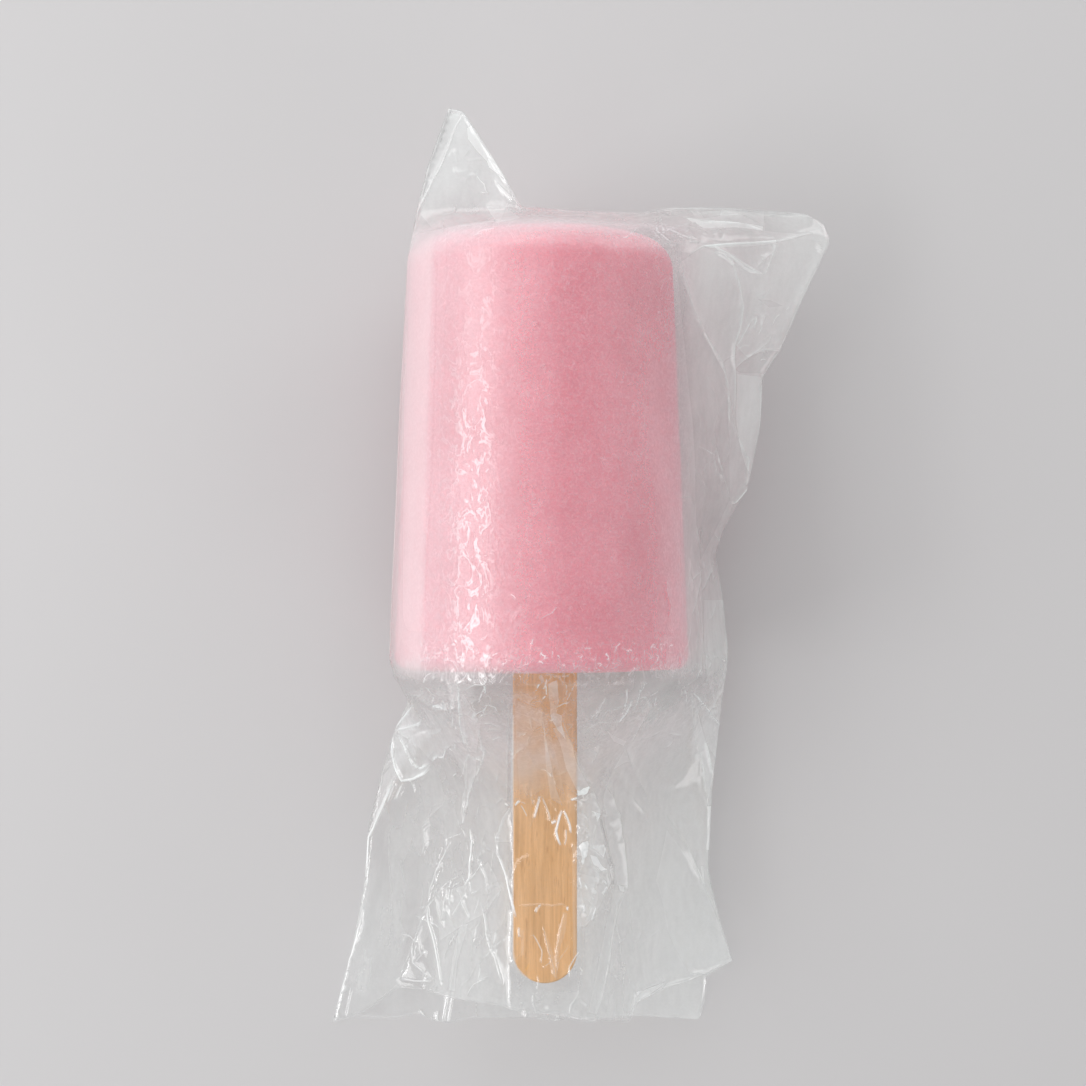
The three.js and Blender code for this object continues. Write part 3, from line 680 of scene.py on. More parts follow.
FRONT_FOLDS = [
    # far left corner
    Fold(0.1, 0.5, 1.2, 0.14, 0.7, 464, 113, 455, 128, 448, 148, 442, 164, 433, 180, 415, 216),
    Fold(0.34, 0.8, 0.5, 0.12, 0.6, 469, 122, 494, 156, 507, 181),
    Fold(0.16, 0.5, 0.5, 0.12, 0.6, 495, 181, 504, 190, 514, 201),
    Fold(0.2, 0.5, 0.9, 0.1, 0.5, 485, 206, 504, 208, 519, 217),
    Fold(0.14, 0.4, 0.5, 0.12, 0.6, 471, 238, 482, 231, 497, 228),
    # far right corner
    Fold(0.16, 0.5, 0.5, 0.1, 0.5, 684, 219, 704, 220, 734, 224, 763, 229),
    Fold(0.12, 0.5, 0.8, 0.08, 0.3, 688, 216, 712, 212, 735, 213, 763, 226),
    Fold(0.22, 0.6, 1.4, 0.16, 0.7, 688, 255, 703, 246, 742, 244, 776, 241, 814, 233),
    Fold(0.18, 0.5, 0.8, 0.12, 0.7, 712, 247, 732, 257, 747, 267, 764, 275),
    Fold(0.18, 0.7, 1.2, 0.1, 0.5, 731, 260, 739, 287, 742, 306, 739, 328, 734, 343, 733, 355, 734, 369,
        737, 417),
    Fold(0.18, 0.7, 1.2, 0.08, 0.35, 679, 256, 686, 283, 693, 309, 703, 330, 722, 362, 727, 384, 730, 415,
        736, 440),
    Fold(0.16, 0.6, 0.6, 0.08, 0.5, 776, 242, 773, 255, 764, 274),
    Fold(0.14, 0.5, 0.5, 0.08, 0.5, 749, 322, 742, 334, 736, 345),
    Fold(0.2, 0.6, 1.2, 0.06, 0.4, 735, 367, 745, 356, 762, 349, 780, 349),
    Fold(0.16, 0.4, 0.4, 0.12, 0.8, 655, 217, 657, 232, 671, 243),
    crease(0.5, 645, 213, 680, 208, 718, 209, 734, 213),
    crease(0.7, 642, 219, 646, 226, 652, 231, 660, 240),
    crease(0.6, 663, 225, 672, 229, 678, 236, 686, 241),
    crease(0.5, 714, 252, 724, 256, 734, 265),
    crease(0.4, 756, 268, 762, 261, 773, 252, 777, 243),
    crease(0.35, 738, 362, 752, 352, 766, 343, 772, 336),
    Fold(0.16, 0.4, 0.4, 0.12, 0.8, 660, 217, 664, 236),
    Fold(0.16, 0.4, 0.4, 0.12, 0.7, 664, 229, 694, 240),
    Fold(0.1, 0.4, 0.4, 0.1, 0.6, 817, 240, 822, 252, 826, 247),
    # right side
    Fold(0.4, 1, 0.6, 0.16, 0.8, 746, 484, 729, 503),
    Fold(0.26, 0.7, 0.9, 0.08, 0.4, 712, 440, 719, 458, 728, 501),
    Fold(0.24, 0.9, 0.9, 0.06, 0.3, 722, 380, 730, 405, 740, 438, 747, 457),
    Fold(0.22, 0.5, 0.5, 0.12, 0.6, 748, 456, 745, 484),
    crease(0.3, 694, 600, 698, 620, 700, 642),
    Fold(0.26, 0.7, 0.7, 0.08, 0.4, 713, 562, 700, 592),
    Fold(0.2, 0.8, 0.8, 0.05, 0.25, 700, 594, 702, 640, 699, 690),
    # mouth, left of the stick
    Fold(0.24, 0.5, 0.7, 0.18, 1, 394, 731, 393, 742, 393, 756, 395, 770, 401, 781, 413, 779, 424, 774,
        431, 765),
    Fold(0.18, 0.4, 0.5, 0.16, 1, 396, 733, 403, 746, 406, 756, 411, 765, 420, 769, 430, 764),
    Fold(0.12, 0.4, 0.4, 0.12, 0.8, 398, 733, 407, 749, 413, 759, 416, 766),
    Fold(0.12, 0.4, 0.4, 0.12, 0.5, 397, 731, 408, 740, 414, 750, 415, 757),
    Fold(0.2, 0.5, 0.5, 0.12, 0.9, 394, 730, 403, 719, 414, 705),
    Fold(0.14, 0.4, 0.4, 0.12, 0.8, 394, 731, 406, 728, 415, 725, 421, 721),
    Fold(0.14, 0.4, 0.4, 0.1, 0.7, 415, 729, 420, 722),
    Fold(0.18, 0.5, 0.6, 0.1, 0.7, 402, 784, 399, 792, 396, 800),
    Fold(0.14, 0.5, 0.6, 0.1, 0.6, 395, 783, 391, 793, 387, 803),
    Fold(0.2, 0.5, 0.6, 0.14, 1, 394, 776, 384, 803, 375, 822, 368, 838, 367, 860, 364, 885, 362, 902,
        364, 912),
    Fold(0.2, 0.5, 0.6, 0.14, 1, 364, 910, 361, 925, 357, 940, 352, 955, 345, 970, 341, 986, 336, 1004,
        332, 1019),
    Fold(0.22, 0.5, 1, 0.12, 0.75, 457, 680, 459, 694, 460, 712, 462, 725, 465, 735, 468, 749),
    Fold(0.14, 0.4, 0.6, 0.1, 0.45, 461, 694, 467, 703, 475, 711, 478, 718, 482, 723),
    crease(0.6, 472, 699, 474, 706, 478, 714),
    crease(0.45, 462, 727, 468, 733, 470, 745, 475, 751),
    crease(0.7, 478, 750, 481, 747, 485, 748, 485, 755, 482, 764, 479, 772, 474, 778),
    crease(0.9, 476, 758, 483, 758),
    Fold(0.24, 0.4, 0.8, 0.14, 0.7, 474, 776, 473, 786, 470, 792, 468, 805, 465, 814),
    Fold(0.26, 0.9, 0.9, 0.1, 0.3, 469, 754, 468, 775, 466, 795, 463, 812, 463, 824),
    crease(0.9, 448, 744, 452, 748, 455, 750),
    crease(0.8, 455, 750, 457, 745, 458, 741),
    crease(0.8, 431, 762, 437, 757, 444, 757, 446, 750, 447, 744),
    crease(0.9, 455, 724, 459, 728),
    crease(0.6, 457, 817, 460, 826, 464, 831, 466, 838),
    crease(0.5, 509, 810, 503, 820, 499, 832, 494, 842),
    crease(0.7, 505, 802, 510, 806),
    Fold(0.2, 0.5, 0.5, 0.18, 1, 470, 827, 473, 841, 471, 859, 469, 878, 463, 889),
    Fold(0.16, 0.5, 0.5, 0.12, 0.6, 473, 852, 479, 866, 484, 880, 486, 896),
    Fold(0.16, 0.5, 0.5, 0.16, 1, 493, 850, 498, 859, 505, 876, 511, 897, 516, 918),
    Fold(0.18, 0.5, 0.5, 0.1, 0.6, 452, 839, 442, 862, 433, 887, 429, 904),
    Fold(0.2, 0.5, 0.9, 0.18, 0.9, 429, 904, 431, 925, 434, 940, 440, 987),
    Fold(0.24, 1.2, 0.7, 0.06, 0.3, 427, 911, 415, 941, 400, 978),
    Fold(0.18, 0.5, 1, 0.08, 0.6, 400, 978, 414, 981, 431, 981),
    Fold(0.2, 0.7, 0.7, 0.12, 0.6, 414, 943, 413, 963, 430, 979),
    Fold(0.22, 0.6, 0.9, 0.16, 0.8, 478, 902, 484, 917, 490, 943, 497, 958, 503, 985),
    Fold(0.18, 0.6, 0.6, 0.1, 0.5, 437, 897, 444, 929),
    Fold(0.18, 0.6, 0.6, 0.1, 0.5, 449, 890, 443, 922),
    Fold(0.18, 0.6, 0.6, 0.12, 0.6, 461, 902, 468, 919),
    Fold(0.18, 0.7, 0.7, 0.12, 0.6, 466, 892, 451, 918),
    Fold(0.16, 0.6, 0.6, 0.1, 0.5, 498, 892, 484, 913),
    Fold(0.3, 1.4, 1.4, 0.04, 0.2, 462, 925, 456, 960, 452, 992),
    Fold(0.16, 0.6, 0.6, 0.12, 0.9, 431, 706, 444, 709),
    Fold(0.16, 0.6, 0.6, 0.12, 0.9, 440, 702, 446, 711),
    # on the stick
    Fold(0.16, 0.5, 0.6, 0.06, 0.25, 548, 684, 549, 704, 551, 716, 558, 730, 561, 740),
    Fold(0.18, 0.4, 0.6, 0.08, 0.45, 562, 714, 566, 730, 573, 748, 579, 764, 590, 785),
    crease(0.3, 542, 705, 543, 722, 546, 738, 549, 756),
    crease(0.25, 509, 704, 508, 750, 508, 800),
    crease(0.9, 514, 806, 517, 803, 520, 799),
    crease(0.8, 540, 796, 538, 804, 536, 812, 534, 819),
    crease(0.5, 541, 796, 546, 806, 549, 814, 551, 822),
    Fold(0.16, 0.4, 0.4, 0.14, 0.95, 563, 809, 560, 815, 558, 823, 556, 831, 558, 839, 561, 846),
    Fold(0.14, 0.4, 0.4, 0.12, 0.8, 563, 809, 567, 817, 570, 825, 571, 834),
    crease(0.9, 551, 823, 557, 821),
    crease(0.25, 517, 906, 530, 905, 540, 904, 552, 906, 563, 904, 568, 908),
    crease(0.7, 541, 904, 537, 908, 535, 913),
    crease(0.9, 567, 905, 568, 911),
    crease(0.6, 519, 926, 519, 938),
    crease(0.35, 543, 925, 546, 940, 549, 952, 553, 965, 556, 979),
    crease(0.25, 565, 912, 561, 930, 558, 946, 557, 962, 556, 977),
    Fold(0, 0.3, 0.3, 0.04, 0.5, 513, 712, 512, 760, 513, 860, 513, 950, 516, 966, 524, 978),
    # mouth, right of the stick
    Fold(0.5, 1.2, 1.6, 0.06, 0.4, 600, 778, 608, 790, 612, 800, 615, 815, 622, 850, 628, 880, 629, 890),
    Fold(0.3, 0.6, 0.8, 0.06, 0.12, 599, 815, 602, 830, 606, 845, 609, 858, 613, 875, 615, 886),
    crease(0.5, 602, 866, 607, 876, 610, 884, 615, 888),
    Fold(0.3, 0.6, 1.4, 0.14, 0.65, 626, 891, 618, 904, 615, 922, 611, 940, 607, 963, 594, 1016),
    Fold(0.2, 0.8, 0.8, 0.05, 0.25, 629, 892, 630, 915, 631, 945),
    crease(0.8, 575, 794, 584, 792, 587, 788, 589, 784),
    crease(0.6, 576, 787, 582, 790, 586, 792),
    crease(0.9, 570, 800, 574, 798, 578, 796),
    crease(0.45, 589, 787, 592, 797, 596, 808, 599, 817),
    crease(0.6, 581, 811, 583, 818, 586, 826),
    crease(0.9, 591, 812, 595, 816, 598, 823),
    crease(0.6, 597, 825, 595, 831, 594, 837),
    crease(0.9, 586, 841, 585, 852, 584, 865),
    crease(0.9, 588, 846, 597, 846, 606, 845),
    crease(1, 605, 846, 605, 852, 603, 858),
    crease(0.8, 589, 848, 596, 852, 603, 858),
    crease(1, 599, 881, 604, 882, 608, 885),
    crease(1, 608, 886, 605, 890, 603, 894),
    crease(0.8, 579, 876, 580, 882, 582, 888),
    crease(1, 584, 883, 588, 890),
    crease(0.6, 590, 889, 597, 892),
    crease(1, 591, 896, 593, 900),
    crease(0.9, 581, 903, 582, 913),
    crease(1, 596, 906, 593, 913, 590, 921),
    crease(0.6, 592, 905, 588, 914, 586, 921),
    Fold(0.24, 0.6, 0.8, 0.1, 0.5, 607, 696, 593, 721),
    Fold(0.26, 0.5, 0.7, 0.16, 0.8, 632, 698, 624, 712, 616, 721),
    Fold(0.22, 0.5, 0.5, 0.12, 0.6, 646, 696, 650, 705, 658, 702),
    Fold(0.26, 0.6, 0.7, 0.1, 0.5, 646, 711, 631, 738, 625, 744),
    Fold(0.36, 1, 1.4, 0.05, 0.25, 624, 748, 636, 776, 648, 802),
    Fold(0.3, 1.2, 1.2, 0.04, 0.2, 614, 767, 632, 800, 648, 820),
    Fold(0.22, 0.5, 1.2, 0.08, 0.55, 690, 690, 691, 715, 694, 730, 697, 746, 702, 762, 704, 790, 708, 808),
    Fold(0.22, 0.5, 0.6, 0.14, 0.85, 689, 689, 700, 701, 712, 717, 722, 728),
    crease(0.5, 706, 740, 709, 757, 713, 776),
    Fold(0.24, 0.6, 0.6, 0.14, 0.9, 707, 804, 708, 830, 708, 850),
    Fold(0.4, 1.4, 2.4, 0.08, 0.35, 667, 814, 684, 846, 695, 868, 704, 887, 721, 924, 732, 960),
    crease(0.7, 694, 866, 699, 876, 704, 887),
    Fold(0.2, 0.6, 1.6, 0.1, 0.5, 689, 974, 711, 971, 732, 963),
    Fold(0.6, 0.9, 1.2, 0.12, 0.6, 668, 981, 645, 987, 633, 995, 626, 1015),
    Fold(0.3, 0.5, 0.6, 0.12, 0.6, 653, 992, 639, 999, 638, 1015),
]

# the bead that runs all round the edge
EDGE_IN = 0.004
for ends in (
    ((EDGE_IN, 0), (EDGE_IN, 1)),
    ((1 - EDGE_IN, 0), (1 - EDGE_IN, 1)),
    ((0, 1 - EDGE_IN / 1.8), (1, 1 - EDGE_IN / 1.8)),
    ((0, EDGE_IN / 1.8), (1, EDGE_IN / 1.8)),
):
    FRONT_FOLDS.append(Fold(0, 0.3, 0.3, 0.1, 0, edge=ends))

BACK_FOLDS = [
    Fold(0.18, 0.4, 0.4, 0.16, 1, 454, 990, 447, 1026),
    Fold(0.18, 0.4, 0.4, 0.14, 0.7, 450, 990, 443, 1026),
    Fold(0.14, 0.4, 0.4, 0.14, 1, 419, 1009, 424, 1016, 427, 1021),
    Fold(0.14, 0.4, 0.4, 0.14, 1, 438, 1010, 437, 1019, 440, 1025),
    Fold(0.14, 0.4, 0.4, 0.14, 1, 519, 1004, 524, 1002),
    Fold(0.14, 0.4, 0.4, 0.14, 0.9, 526, 1009, 524, 1018),
    Fold(0.14, 0.4, 0.4, 0.14, 0.9, 549, 1004, 545, 1011),
    Fold(0.14, 0.4, 0.4, 0.14, 1, 536, 1019, 543, 1020),
    Fold(0.14, 0.4, 0.4, 0.14, 1, 553, 1020, 562, 1021),
    Fold(0.14, 0.4, 0.4, 0.12, 0.8, 554, 1016, 561, 1017),
    Fold(0.14, 0.4, 0.4, 0.12, 0.9, 571, 1021, 580, 1024),
    Fold(0.2, 0.5, 0.5, 0.14, 0.8, 706, 974, 706, 990, 704, 1006, 700, 1019),
    Fold(0.2, 0.6, 0.6, 0.08, 0.35, 352, 985, 345, 1018),
]

# Panels of the film between its creases, as a tone and the corners of each in the frame: a light one is
# a painted highlight where a flat facet catches the lights, made milkier than the film round it, and a
# dark one is painted shade, made to let less light through.
PANELS = [
    # far left corner
    (0.1, 449, 108, 462, 112, 470, 122, 510, 198, 500, 222, 432, 228, 420, 214, 446, 158),
    (0.35, 467, 128, 471, 126, 490, 154, 487, 161, 477, 151, 468, 139),
    (0.55, 487, 161, 490, 154, 506, 180, 503, 177, 489, 167),
    (0.3, 447, 107, 462, 112, 457, 117, 450, 120),
    (0.2, 487, 207, 504, 209, 520, 218, 497, 223),
    # far right corner
    (0.08, 656, 212, 684, 208, 732, 208, 764, 212, 763, 228, 686, 219),
    (0.32, 686, 219, 735, 223, 763, 226, 763, 230, 704, 227),
    (-0.12, 658, 214, 690, 210, 694, 216, 668, 218),
    (-0.12, 698, 211, 722, 209, 720, 215, 704, 217),
    (0.32, 703, 246, 742, 243, 776, 240, 776, 243, 744, 247, 710, 248),
    (-0.12, 764, 216, 788, 213, 812, 219, 822, 229, 800, 234, 765, 230),
    (0.1, 776, 243, 815, 234, 831, 236, 826, 256, 780, 349, 762, 349, 745, 356, 734, 344, 742, 306,
        732, 262, 764, 275),
    (0.08, 681, 262, 703, 247, 731, 260, 742, 306, 734, 343, 733, 355, 722, 362, 703, 330, 693, 309),
    (-0.12, 757, 299, 770, 300, 783, 306, 768, 307),
    (0.12, 712, 247, 732, 256, 764, 274, 750, 273, 730, 262),
    (-0.16, 734, 369, 745, 357, 762, 350, 779, 351, 764, 374, 740, 373),
    (-0.1, 676, 262, 694, 311, 724, 373, 732, 440, 728, 498, 700, 560, 692, 420),
    (0.06, 723, 363, 733, 356, 737, 417, 738, 440, 731, 415),
    (0.2, 737, 374, 761, 377, 763, 396, 758, 440, 748, 480, 740, 440),
    # right side
    (0.14, 704, 600, 728, 600, 727, 660, 724, 690, 714, 703, 706, 680),
    (0.18, 690, 692, 694, 697, 700, 722, 706, 740, 712, 775, 708, 800, 704, 790, 702, 762, 694, 728),
    (0.5, 706, 806, 711, 806, 710, 850, 707, 850),
    (0.35, 700, 866, 704, 866, 704, 884, 702, 882),
    (0.1, 692, 692, 722, 729, 716, 760, 708, 745),
    # lap on the ice
    (-0.05, 436, 262, 438, 262, 434, 440, 426, 600, 424, 600, 432, 440),
    # mouth, left of the stick
    (0.16, 395, 736, 404, 745, 408, 758, 417, 769, 430, 765, 424, 774, 401, 783, 394, 765),
    (0.4, 431, 706, 445, 704, 447, 711, 432, 711),
    (0.1, 415, 690, 458, 684, 469, 740, 468, 790, 452, 745, 431, 762, 398, 732),
    (0.18, 458, 692, 463, 694, 476, 711, 481, 722, 477, 752, 470, 750, 464, 733, 460, 712),
    (0.16, 469, 752, 477, 758, 476, 776, 472, 790, 467, 808, 463, 824, 460, 812, 465, 790, 467, 768),
    (0.14, 511, 806, 511, 842, 494, 842, 503, 820),
    (0.14, 460, 925, 467, 924, 458, 962, 456, 991, 449, 990, 452, 958),
    (0.16, 427, 911, 429, 930, 418, 958, 431, 979, 401, 977),
    (0.12, 437, 892, 462, 886, 486, 862, 500, 890, 482, 914, 462, 925, 440, 940),
    (0.3, 361, 904, 364, 912, 353, 954, 341, 986, 338, 986, 350, 940),
    # on the stick
    (0.22, 512, 716, 514, 716, 514, 958, 518, 968, 524, 974, 530, 979, 528, 980, 514, 968, 512, 955),
    (0.12, 521, 930, 524, 930, 524, 955, 521, 957),
    (0.14, 563, 912, 567, 913, 566, 930, 560, 948, 557, 979, 551, 974, 543, 925, 555, 958, 559, 930),
    (0.14, 572, 845, 577, 845, 577, 965, 573, 970),
    (0.26, 548, 684, 557, 680, 559, 700, 556, 712, 562, 715, 562, 726, 566, 742, 558, 730, 551, 716),
    (0.18, 562, 726, 572, 746, 577, 764, 588, 786, 577, 790, 566, 770, 560, 745, 552, 728),
    (0.14, 543, 716, 549, 756, 556, 790, 563, 806, 551, 800, 546, 770),
    (0.06, 514, 700, 545, 712, 566, 800, 541, 799, 520, 800),
    # mouth, right of the stick
    (0.16, 604, 786, 612, 798, 616, 815, 622, 848, 628, 885, 619, 885, 613, 860, 607, 835, 603, 805),
    (-0.25, 598, 812, 601, 815, 607, 843, 616, 884, 613, 886, 604, 845),
    (0.9, 578, 846, 582, 842, 587, 841, 586, 850, 584, 865, 582, 862, 580, 853),
    (0.35, 592, 847, 604, 846, 603, 856, 597, 851),
    (0.8, 591, 855, 598, 857, 604, 869, 601, 871, 595, 865),
    (0.8, 590, 811, 600, 814, 598, 823, 595, 817),
    (0.4, 607, 886, 609, 888, 604, 895, 602, 893),
    (0.4, 620, 885, 626, 887, 626, 892, 622, 891),
    (0.8, 577, 790, 588, 785, 585, 791, 578, 795),
    (0.2, 577, 800, 592, 790, 606, 845, 613, 880, 600, 906, 585, 926, 577, 926),
    (0.12, 577, 872, 597, 878, 598, 900, 585, 926, 577, 926),
    (0.1, 616, 890, 629, 890, 616, 922, 606, 965, 595, 1014, 588, 1012, 602, 950),
    (0.25, 606, 729, 611, 733, 625, 740, 622, 744, 612, 739),
    (0.16, 624, 748, 628, 760, 612, 768),
    (0.1, 667, 830, 702, 884, 732, 961, 690, 974, 668, 930, 655, 880),
    (0.4, 634, 992, 646, 989, 668, 981, 646, 999, 639, 1014, 626, 1014, 632, 1006),
]

# Loose creases that handling left all over the film, scattered by a fixed roll of dice.
KINKS = 3
SLOPES = (0.08, 0.24)
LOOSE_CREST = 0.5
dice = np.random.default_rng(11)


def loose_folds(count, middle, spread, angle, turn, length, height, bead, wander=28):
    """Small creases scattered round a spot of the frame, roughly one way, each with a few kinks."""
    made = []
    for _ in range(count):
        joints = [np.array(middle) + dice.normal(size=2) * spread]
        way = math.radians(angle + dice.normal() * turn)
        stride = dice.uniform(*length) / KINKS
        for _ in range(KINKS):
            ahead = np.array([math.cos(way), -math.sin(way)])
            joints.append(joints[-1] + ahead * stride * dice.uniform(0.5, 1.5))
            way += math.radians(dice.normal() * wander)
        rise = dice.uniform(*height)
        wide = rise / dice.uniform(*SLOPES), rise / dice.uniform(*SLOPES)
        beaded, white = bead * dice.uniform(0.3, 1.2), dice.uniform(0.15, 0.9) ** 1.5
        fold = Fold(rise, *wide, beaded, white, *np.ravel(joints))
        fold.crest = LOOSE_CREST
        made.append(fold)
    return made


# along the rim of the ice, then each of the others in its own spot
for left, right, down in ((402, 470, 653), (440, 540, 658), (520, 620, 658), (600, 690, 654)):
    middle, spread = ((left + right) / 2, down), ((right - left) / 4, 5)
    FRONT_FOLDS += loose_folds(44, middle, spread, 20, 70, (5, 12), (0.02, 0.05), 0.05, 50)
for scatter in (
    (80, (462, 890), (22, 56), 82, 22, (8, 34), (0.04, 0.16), 0.08),
    (50, (470, 730), (18, 34), 75, 35, (6, 24), (0.03, 0.12), 0.07),
    (26, (425, 700), (16, 14), 50, 40, (6, 22), (0.03, 0.12), 0.07),
    (46, (592, 850), (12, 50), 75, 50, (6, 22), (0.1, 0.4), 0.14),
    (60, (618, 708), (30, 22), 52, 25, (8, 30), (0.03, 0.14), 0.08),
    (22, (700, 720), (12, 60), 84, 15, (12, 50), (0.08, 0.24), 0.07),
    (24, (560, 980), (70, 26), 80, 20, (8, 34), (0.08, 0.24), 0.08),
    (50, (540, 750), (18, 60), 80, 30, (6, 22), (0.03, 0.1), 0.07),
    (26, (685, 232), (26, 9), 8, 35, (6, 24), (0.04, 0.12), 0.06),
    (18, (758, 318), (14, 30), 62, 30, (6, 22), (0.04, 0.12), 0.05),
    (16, (465, 180), (18, 28), 60, 50, (6, 26), (0.06, 0.2), 0.08),
    (20, (708, 480), (10, 60), 85, 8, (16, 50), (0.05, 0.14), 0.03),
):
    FRONT_FOLDS += loose_folds(*scatter)


def puff(points):
    """Slow rise and fall of the loose film, and the little slack of the film on the ice."""
    x, y = points[:, 0], points[:, 1]
    wave = np.sin(x * 0.31 + 1.3) * np.sin(y * 0.17 + 0.4) + 0.6 * np.sin(x * 0.52 - y * 0.29 + 2.0)
    on_ice = between(y, -37.5, -34.5, 33, 38) * (1 - smooth(np.abs(x), 22, 26))
    return mix(0.35 * wave, 0.02 * wave, on_ice)


for scatter in (
    (30, (440, 880), (36, 70), 80, 25, (8, 30), (0.04, 0.1), 0.04),
    (30, (640, 850), (36, 80), 85, 25, (8, 30), (0.04, 0.1), 0.04),
    (12, (716, 420), (16, 80), 82, 15, (10, 40), (0.04, 0.1), 0.03),
):
    BACK_FOLDS += loose_folds(*scatter)

# Each layer is folded with its points this far apart and its rim this white, partly as a painted
# highlight, at the left, at the right, at the seam and at the mouth. The two are then joined along the rim.
FRONT_SPACING, FRONT_RIM_WHITE = 0.75, (0.5, 0.6, 0.5, 0.35)
BACK_SPACING, BACK_RIM_WHITE = 0.9, (0.3, 0.3, 0.3, 0.45)
front_points, front_faces, front_crease, front_tone = folded(
    front, FRONT_FOLDS, FRONT_SPACING, FRONT_RIM_WHITE, PANELS, puff
)
back_points, back_faces, back_crease, back_tone = folded(back, BACK_FOLDS, BACK_SPACING, BACK_RIM_WHITE)
bag_mesh = bpy.data.meshes.new("film_bag")
shift = len(front_points)
faces = front_faces + [(a + shift, c + shift, b + shift) for a, b, c in back_faces]
bag_mesh.from_pydata(np.vstack([front_points, back_points]) * MM, [], faces)
bag = bpy.data.objects.new("film_bag", bag_mesh)
scene.collection.objects.link(bag)
for name, domain, values in (
    ("crease", "POINT", np.concatenate([front_crease, back_crease * 0.8])),
    ("tone", "FACE", np.concatenate([front_tone, back_tone])),
):
    bag_mesh.attributes.new(name, "FLOAT", domain).data.foreach_set("value", values)
shape = bmesh.new()
shape.from_mesh(bag_mesh)
bmesh.ops.remove_doubles(shape, verts=shape.verts[:], dist=0.002 * MM)
shape.to_mesh(bag_mesh)
shape.free()
for polygon in bag_mesh.polygons:
    polygon.use_smooth = True

# What the film does from place to place, by millimetres across, along and up: where it clings, how
# milky it is face on and at a slant, partly with painted sheen and painted light in that milk, where it
# is gathered into crinkles, and how glossy it is.
x, y, z = np.array([v.co for v in bag_mesh.vertices]).T / MM
is_front = np.arange(len(x)) < len(front_points)
on_ice = between(y, -35.5, -34, 33.5, 36) * (1 - smooth(np.abs(x), 20, 24)) * smooth(z, 16, 24) * is_front
on_stick = between(y, -84, -82, -64, -44) * (1 - smooth(np.abs(x - STICK_OFFSET / MM), 5, 6)) * is_front
lap_line = -16.5 - 1.5 * (30 - y) / 63
lapped = smooth(lap_line - x, -0.6, 0.6)
below_ice = between(y, -54, -44, -37, -35)
near_base = smooth(y, -34.9, -32.4)
at_rim = between(y, -46, -40, -34, -30)

# over the ice it is milkiest at the left, where the milk is a painted sheen of the lights from the left,
# under the lap of the film, and at the far end
ice_milk_and_sheen = 0.06 + 0.48 * (1 - smooth(x, -17, 6)) + 0.36 * lapped + 0.12 * smooth(x, 14, 22)
ice_milk_and_sheen = np.maximum(ice_milk_and_sheen, 0.42 * smooth(y, 30.5, 35)) * mix(0.5, 1, near_base)
# free film is milkiest at the right, where the extra milk is painted light lifting it out of the pop's
# shade, in the far corners, below the ice, and beside it at the left
free = 0.28 + 0.26 * smooth(x, 8, 22) + 0.2 * smooth(y, 38, 44)
free -= 0.12 * (1 - smooth(x, -20, -10)) * (1 - smooth(y, -50, -40))
free += below_ice * mix(0.24, 0.1, smooth(x, -8, 4)) + 0.04 * smooth(x, 5, 8) * (1 - smooth(y, -44, -38))
free *= 1 - 0.5 * between(y, -41, -38, -35.5, -34.5)
free += 0.55 * (1 - smooth(x, -23.2, -20)) * between(y, -34, -30, 30, 36)
# and how the rest of it changes over the ice, round its rim and on the stick; at a slant over the ice
# it is milkiest at the left, again a painted sheen of the lights from the left
ice_side_milk_and_sheen = mix(1.0, 0.75, smooth(x, -10, 20)) * mix(0.1, 1, near_base)
beside_ice = 1 - smooth(np.maximum(np.abs(x) - 20, np.abs(y) - 34), 0, 26)
gathers = np.maximum(on_ice + 0.15 * on_stick, 0.5 * below_ice) * is_front
pleats = between(x, -16.5, -13, -8.5, -5.5) * mix(1, 0.5, smooth(y, 2, 24))
pleats = np.maximum(pleats, between(y, -52, -38, -33, -24))
for name, values in {
    "cling": np.maximum(on_ice, on_stick),
    "milk": mix(mix(free, ice_milk_and_sheen, on_ice), 0.07, on_stick),
    "side_milk": mix(mix(0.45 - 0.4 * at_rim, ice_side_milk_and_sheen, on_ice), 0.3, on_stick),
    "gathers": gathers * (1 - 0.55 * lapped * smooth(y, -36, -34)),
    "pleats": pleats,
    "shine": 0.06 - 0.02 * np.maximum(on_ice, at_rim * is_front),
    "blur": 0.1 + on_ice * mix(0.22, 0.08, pleats),
    "beside_ice": beside_ice * (1 - on_ice) * (1 - 0.8 * smooth(y, 24, 36)),
}.items():
    bag_mesh.attributes.new(name, "FLOAT", "POINT").data.foreach_set("value", values)

film, tree, finish = new_material("clear_film")
place = node(tree, "TexCoord", out="Object")
clinging, milkiness_and_painted_light, side_milkiness_and_sheen, crease_white_and_highlight, painted_panel_tone, pleated, gathered, blurred, beside, shiny = (
    node(tree, "Attribute", attribute_name=name, out="Fac")
    for name in (
        "cling", "milk", "side_milk", "crease", "tone", "pleats", "gathers", "blur", "beside_ice", "shine"
    )
)
# the panels' painted light and shade, with the white of the creases
painted_panels_and_creases = maths(tree, "ADD", painted_panel_tone, crease_white_and_highlight)
# fine crinkles where the film is gathered
stretch = node(tree, "Mapping", place, Scale=(1.0, 0.62, 1.0))
rumple = node(tree, "TexNoise", stretch, Scale=380.0, Detail=3.0, Roughness=0.6, Distortion=0.6)
wavy = maths(tree, "PINGPONG", rumple, 0.09)
patchy = node(tree, "TexNoise", place, Scale=330.0, Detail=2.0)
patches = ranged(tree, patchy, 0.4, 0.62, pleated, 1.0, "SMOOTHSTEP")
crinkle_depth = maths(tree, "MULTIPLY", patches, gathered)
crinkle_ridge = ranged(tree, wavy, 0.0, 0.09, kind="SMOOTHSTEP")
crinkled = node(tree, "Bump", Strength=crinkle_depth, Distance=0.04 * MM, Height=crinkle_ridge)
crest = ranged(tree, wavy, 0.055, 0.085, kind="SMOOTHSTEP")
crinkle_line = maths(tree, "MULTIPLY", crest, crinkle_depth)
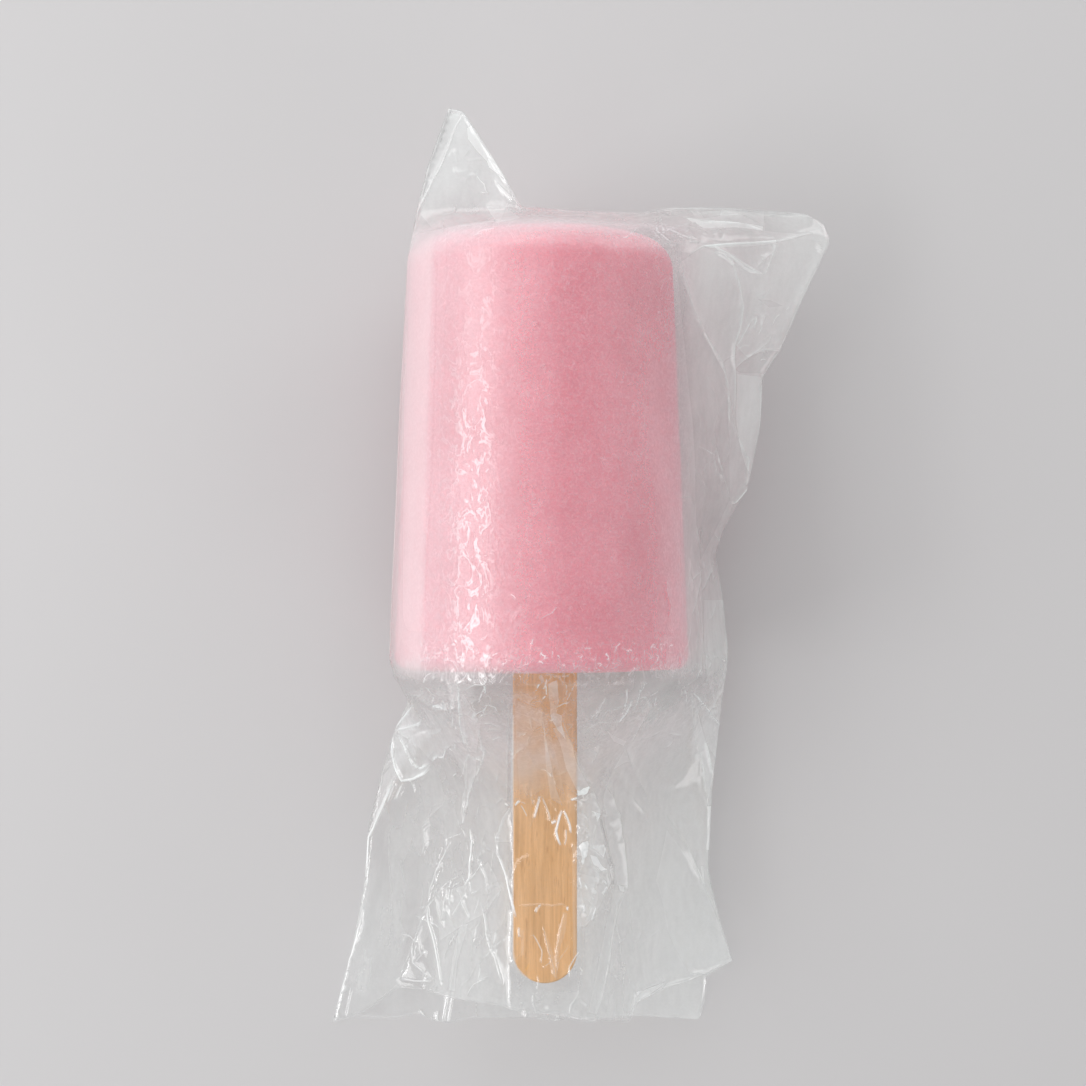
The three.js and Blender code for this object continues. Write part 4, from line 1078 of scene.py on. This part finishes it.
# how milky the film is: more at a slant, on crinkles, in slow drifts, on light panels and creases. The
# crinkle crests are milkiest in the pleats, along the left of the ice and round its near rim: a painted
# highlight of the lights on them
steep = maths(tree, "POWER", node(tree, "LayerWeight", Blend=0.5, out="Facing"), 1.6)
haze_share = ranged(tree, steep, 0.0, 1.0, milkiness_and_painted_light, side_milkiness_and_sheen)
rime = node(tree, "TexNoise", place, Scale=1900.0, Detail=2.0, Roughness=0.7)
rimed = ranged(tree, rime, 0.38, 0.7, -0.03, ranged(tree, gathered, to_max=0.07))
rime_milk = maths(tree, "ADD", haze_share, rimed)
# crinkle crests painted whitest in the pleats, as a highlight
line_milk_and_highlight = ranged(tree, pleated, to_min=0.08, to_max=0.22)
crinkle_milk = maths(tree, "MULTIPLY_ADD", crinkle_line, line_milk_and_highlight, rime_milk)
cloudy = node(tree, "Mapping", place, Scale=(1.0, 0.4, 1.0))
drift = node(tree, "TexNoise", cloudy, Scale=140.0, Detail=3.0, Roughness=0.55)
drifting = ranged(tree, drift, 0.35, 0.7, -0.12, 0.22)
on_free = ranged(tree, clinging, to_min=1.0, to_max=0.25)
drift_milk = maths(tree, "MULTIPLY_ADD", drifting, on_free, crinkle_milk)
milk_and_panel_light = maths(tree, "ADD", drift_milk, painted_panel_tone, use_clamp=True)
all_milk_and_painted_light = maths(tree, "MAXIMUM", milk_and_panel_light, crease_white_and_highlight, use_clamp=True)
# what the milky film scatters, and what the film lets through: dark panels let less through as painted
# shade, and the haze is painted a little cyan, most beside the ice, against the pink light that the ice
# bounces onto the film
clear = node(tree, "BsdfTransparent", ranged(tree, painted_panels_and_creases, -0.4, 0.0, 0.75, 0.985))
# painted cyan beside the ice, against the pink light the ice bounces onto the film
bounce_cancelling_tint = blend(tree, beside, (0.925, 0.94, 0.937, 1), (0.87, 0.965, 0.95, 1))
haze = node(tree, "BsdfDiffuse", blend(tree, gathered, bounce_cancelling_tint, (0.96, 0.94, 0.965, 1)))
through = node(tree, "BsdfTranslucent", (0.88, 0.91, 0.905, 1))
hazes = node(tree, "MixShader", ranged(tree, painted_panels_and_creases, to_min=0.5, to_max=0.0), haze, through)
milky = node(tree, "MixShader", all_milk_and_painted_light, clear, hazes)
# gloss, by the angle and along the crinkles
feed(tree, finish, {
    "Base Color": (1, 1, 1, 1),
    "Metallic": 1.0,
    "Roughness": blurred,
    "Normal": crinkled,
})
line_gloss = maths(tree, "MULTIPLY_ADD", maths(tree, "MULTIPLY", crinkle_line, pleated), 0.1, shiny)
gloss = ranged(tree, node(tree, "Fresnel", IOR=1.5), 0.04, 0.5, line_gloss, 0.3)
surface = node(tree, "MixShader", gloss, milky, finish.outputs["BSDF"])
# thin film casts next to no shadow
unshaded = node(tree, "BsdfTransparent", (0.94, 0.94, 0.94, 1))
thin = node(tree, "MixShader", node(tree, "LightPath", out="Is Shadow Ray"), surface, unshaded)
feed(tree, tree.nodes["Material Output"], {"Surface": thin})
bag.data.materials.append(film)
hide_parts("bag")
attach(bag, "root")
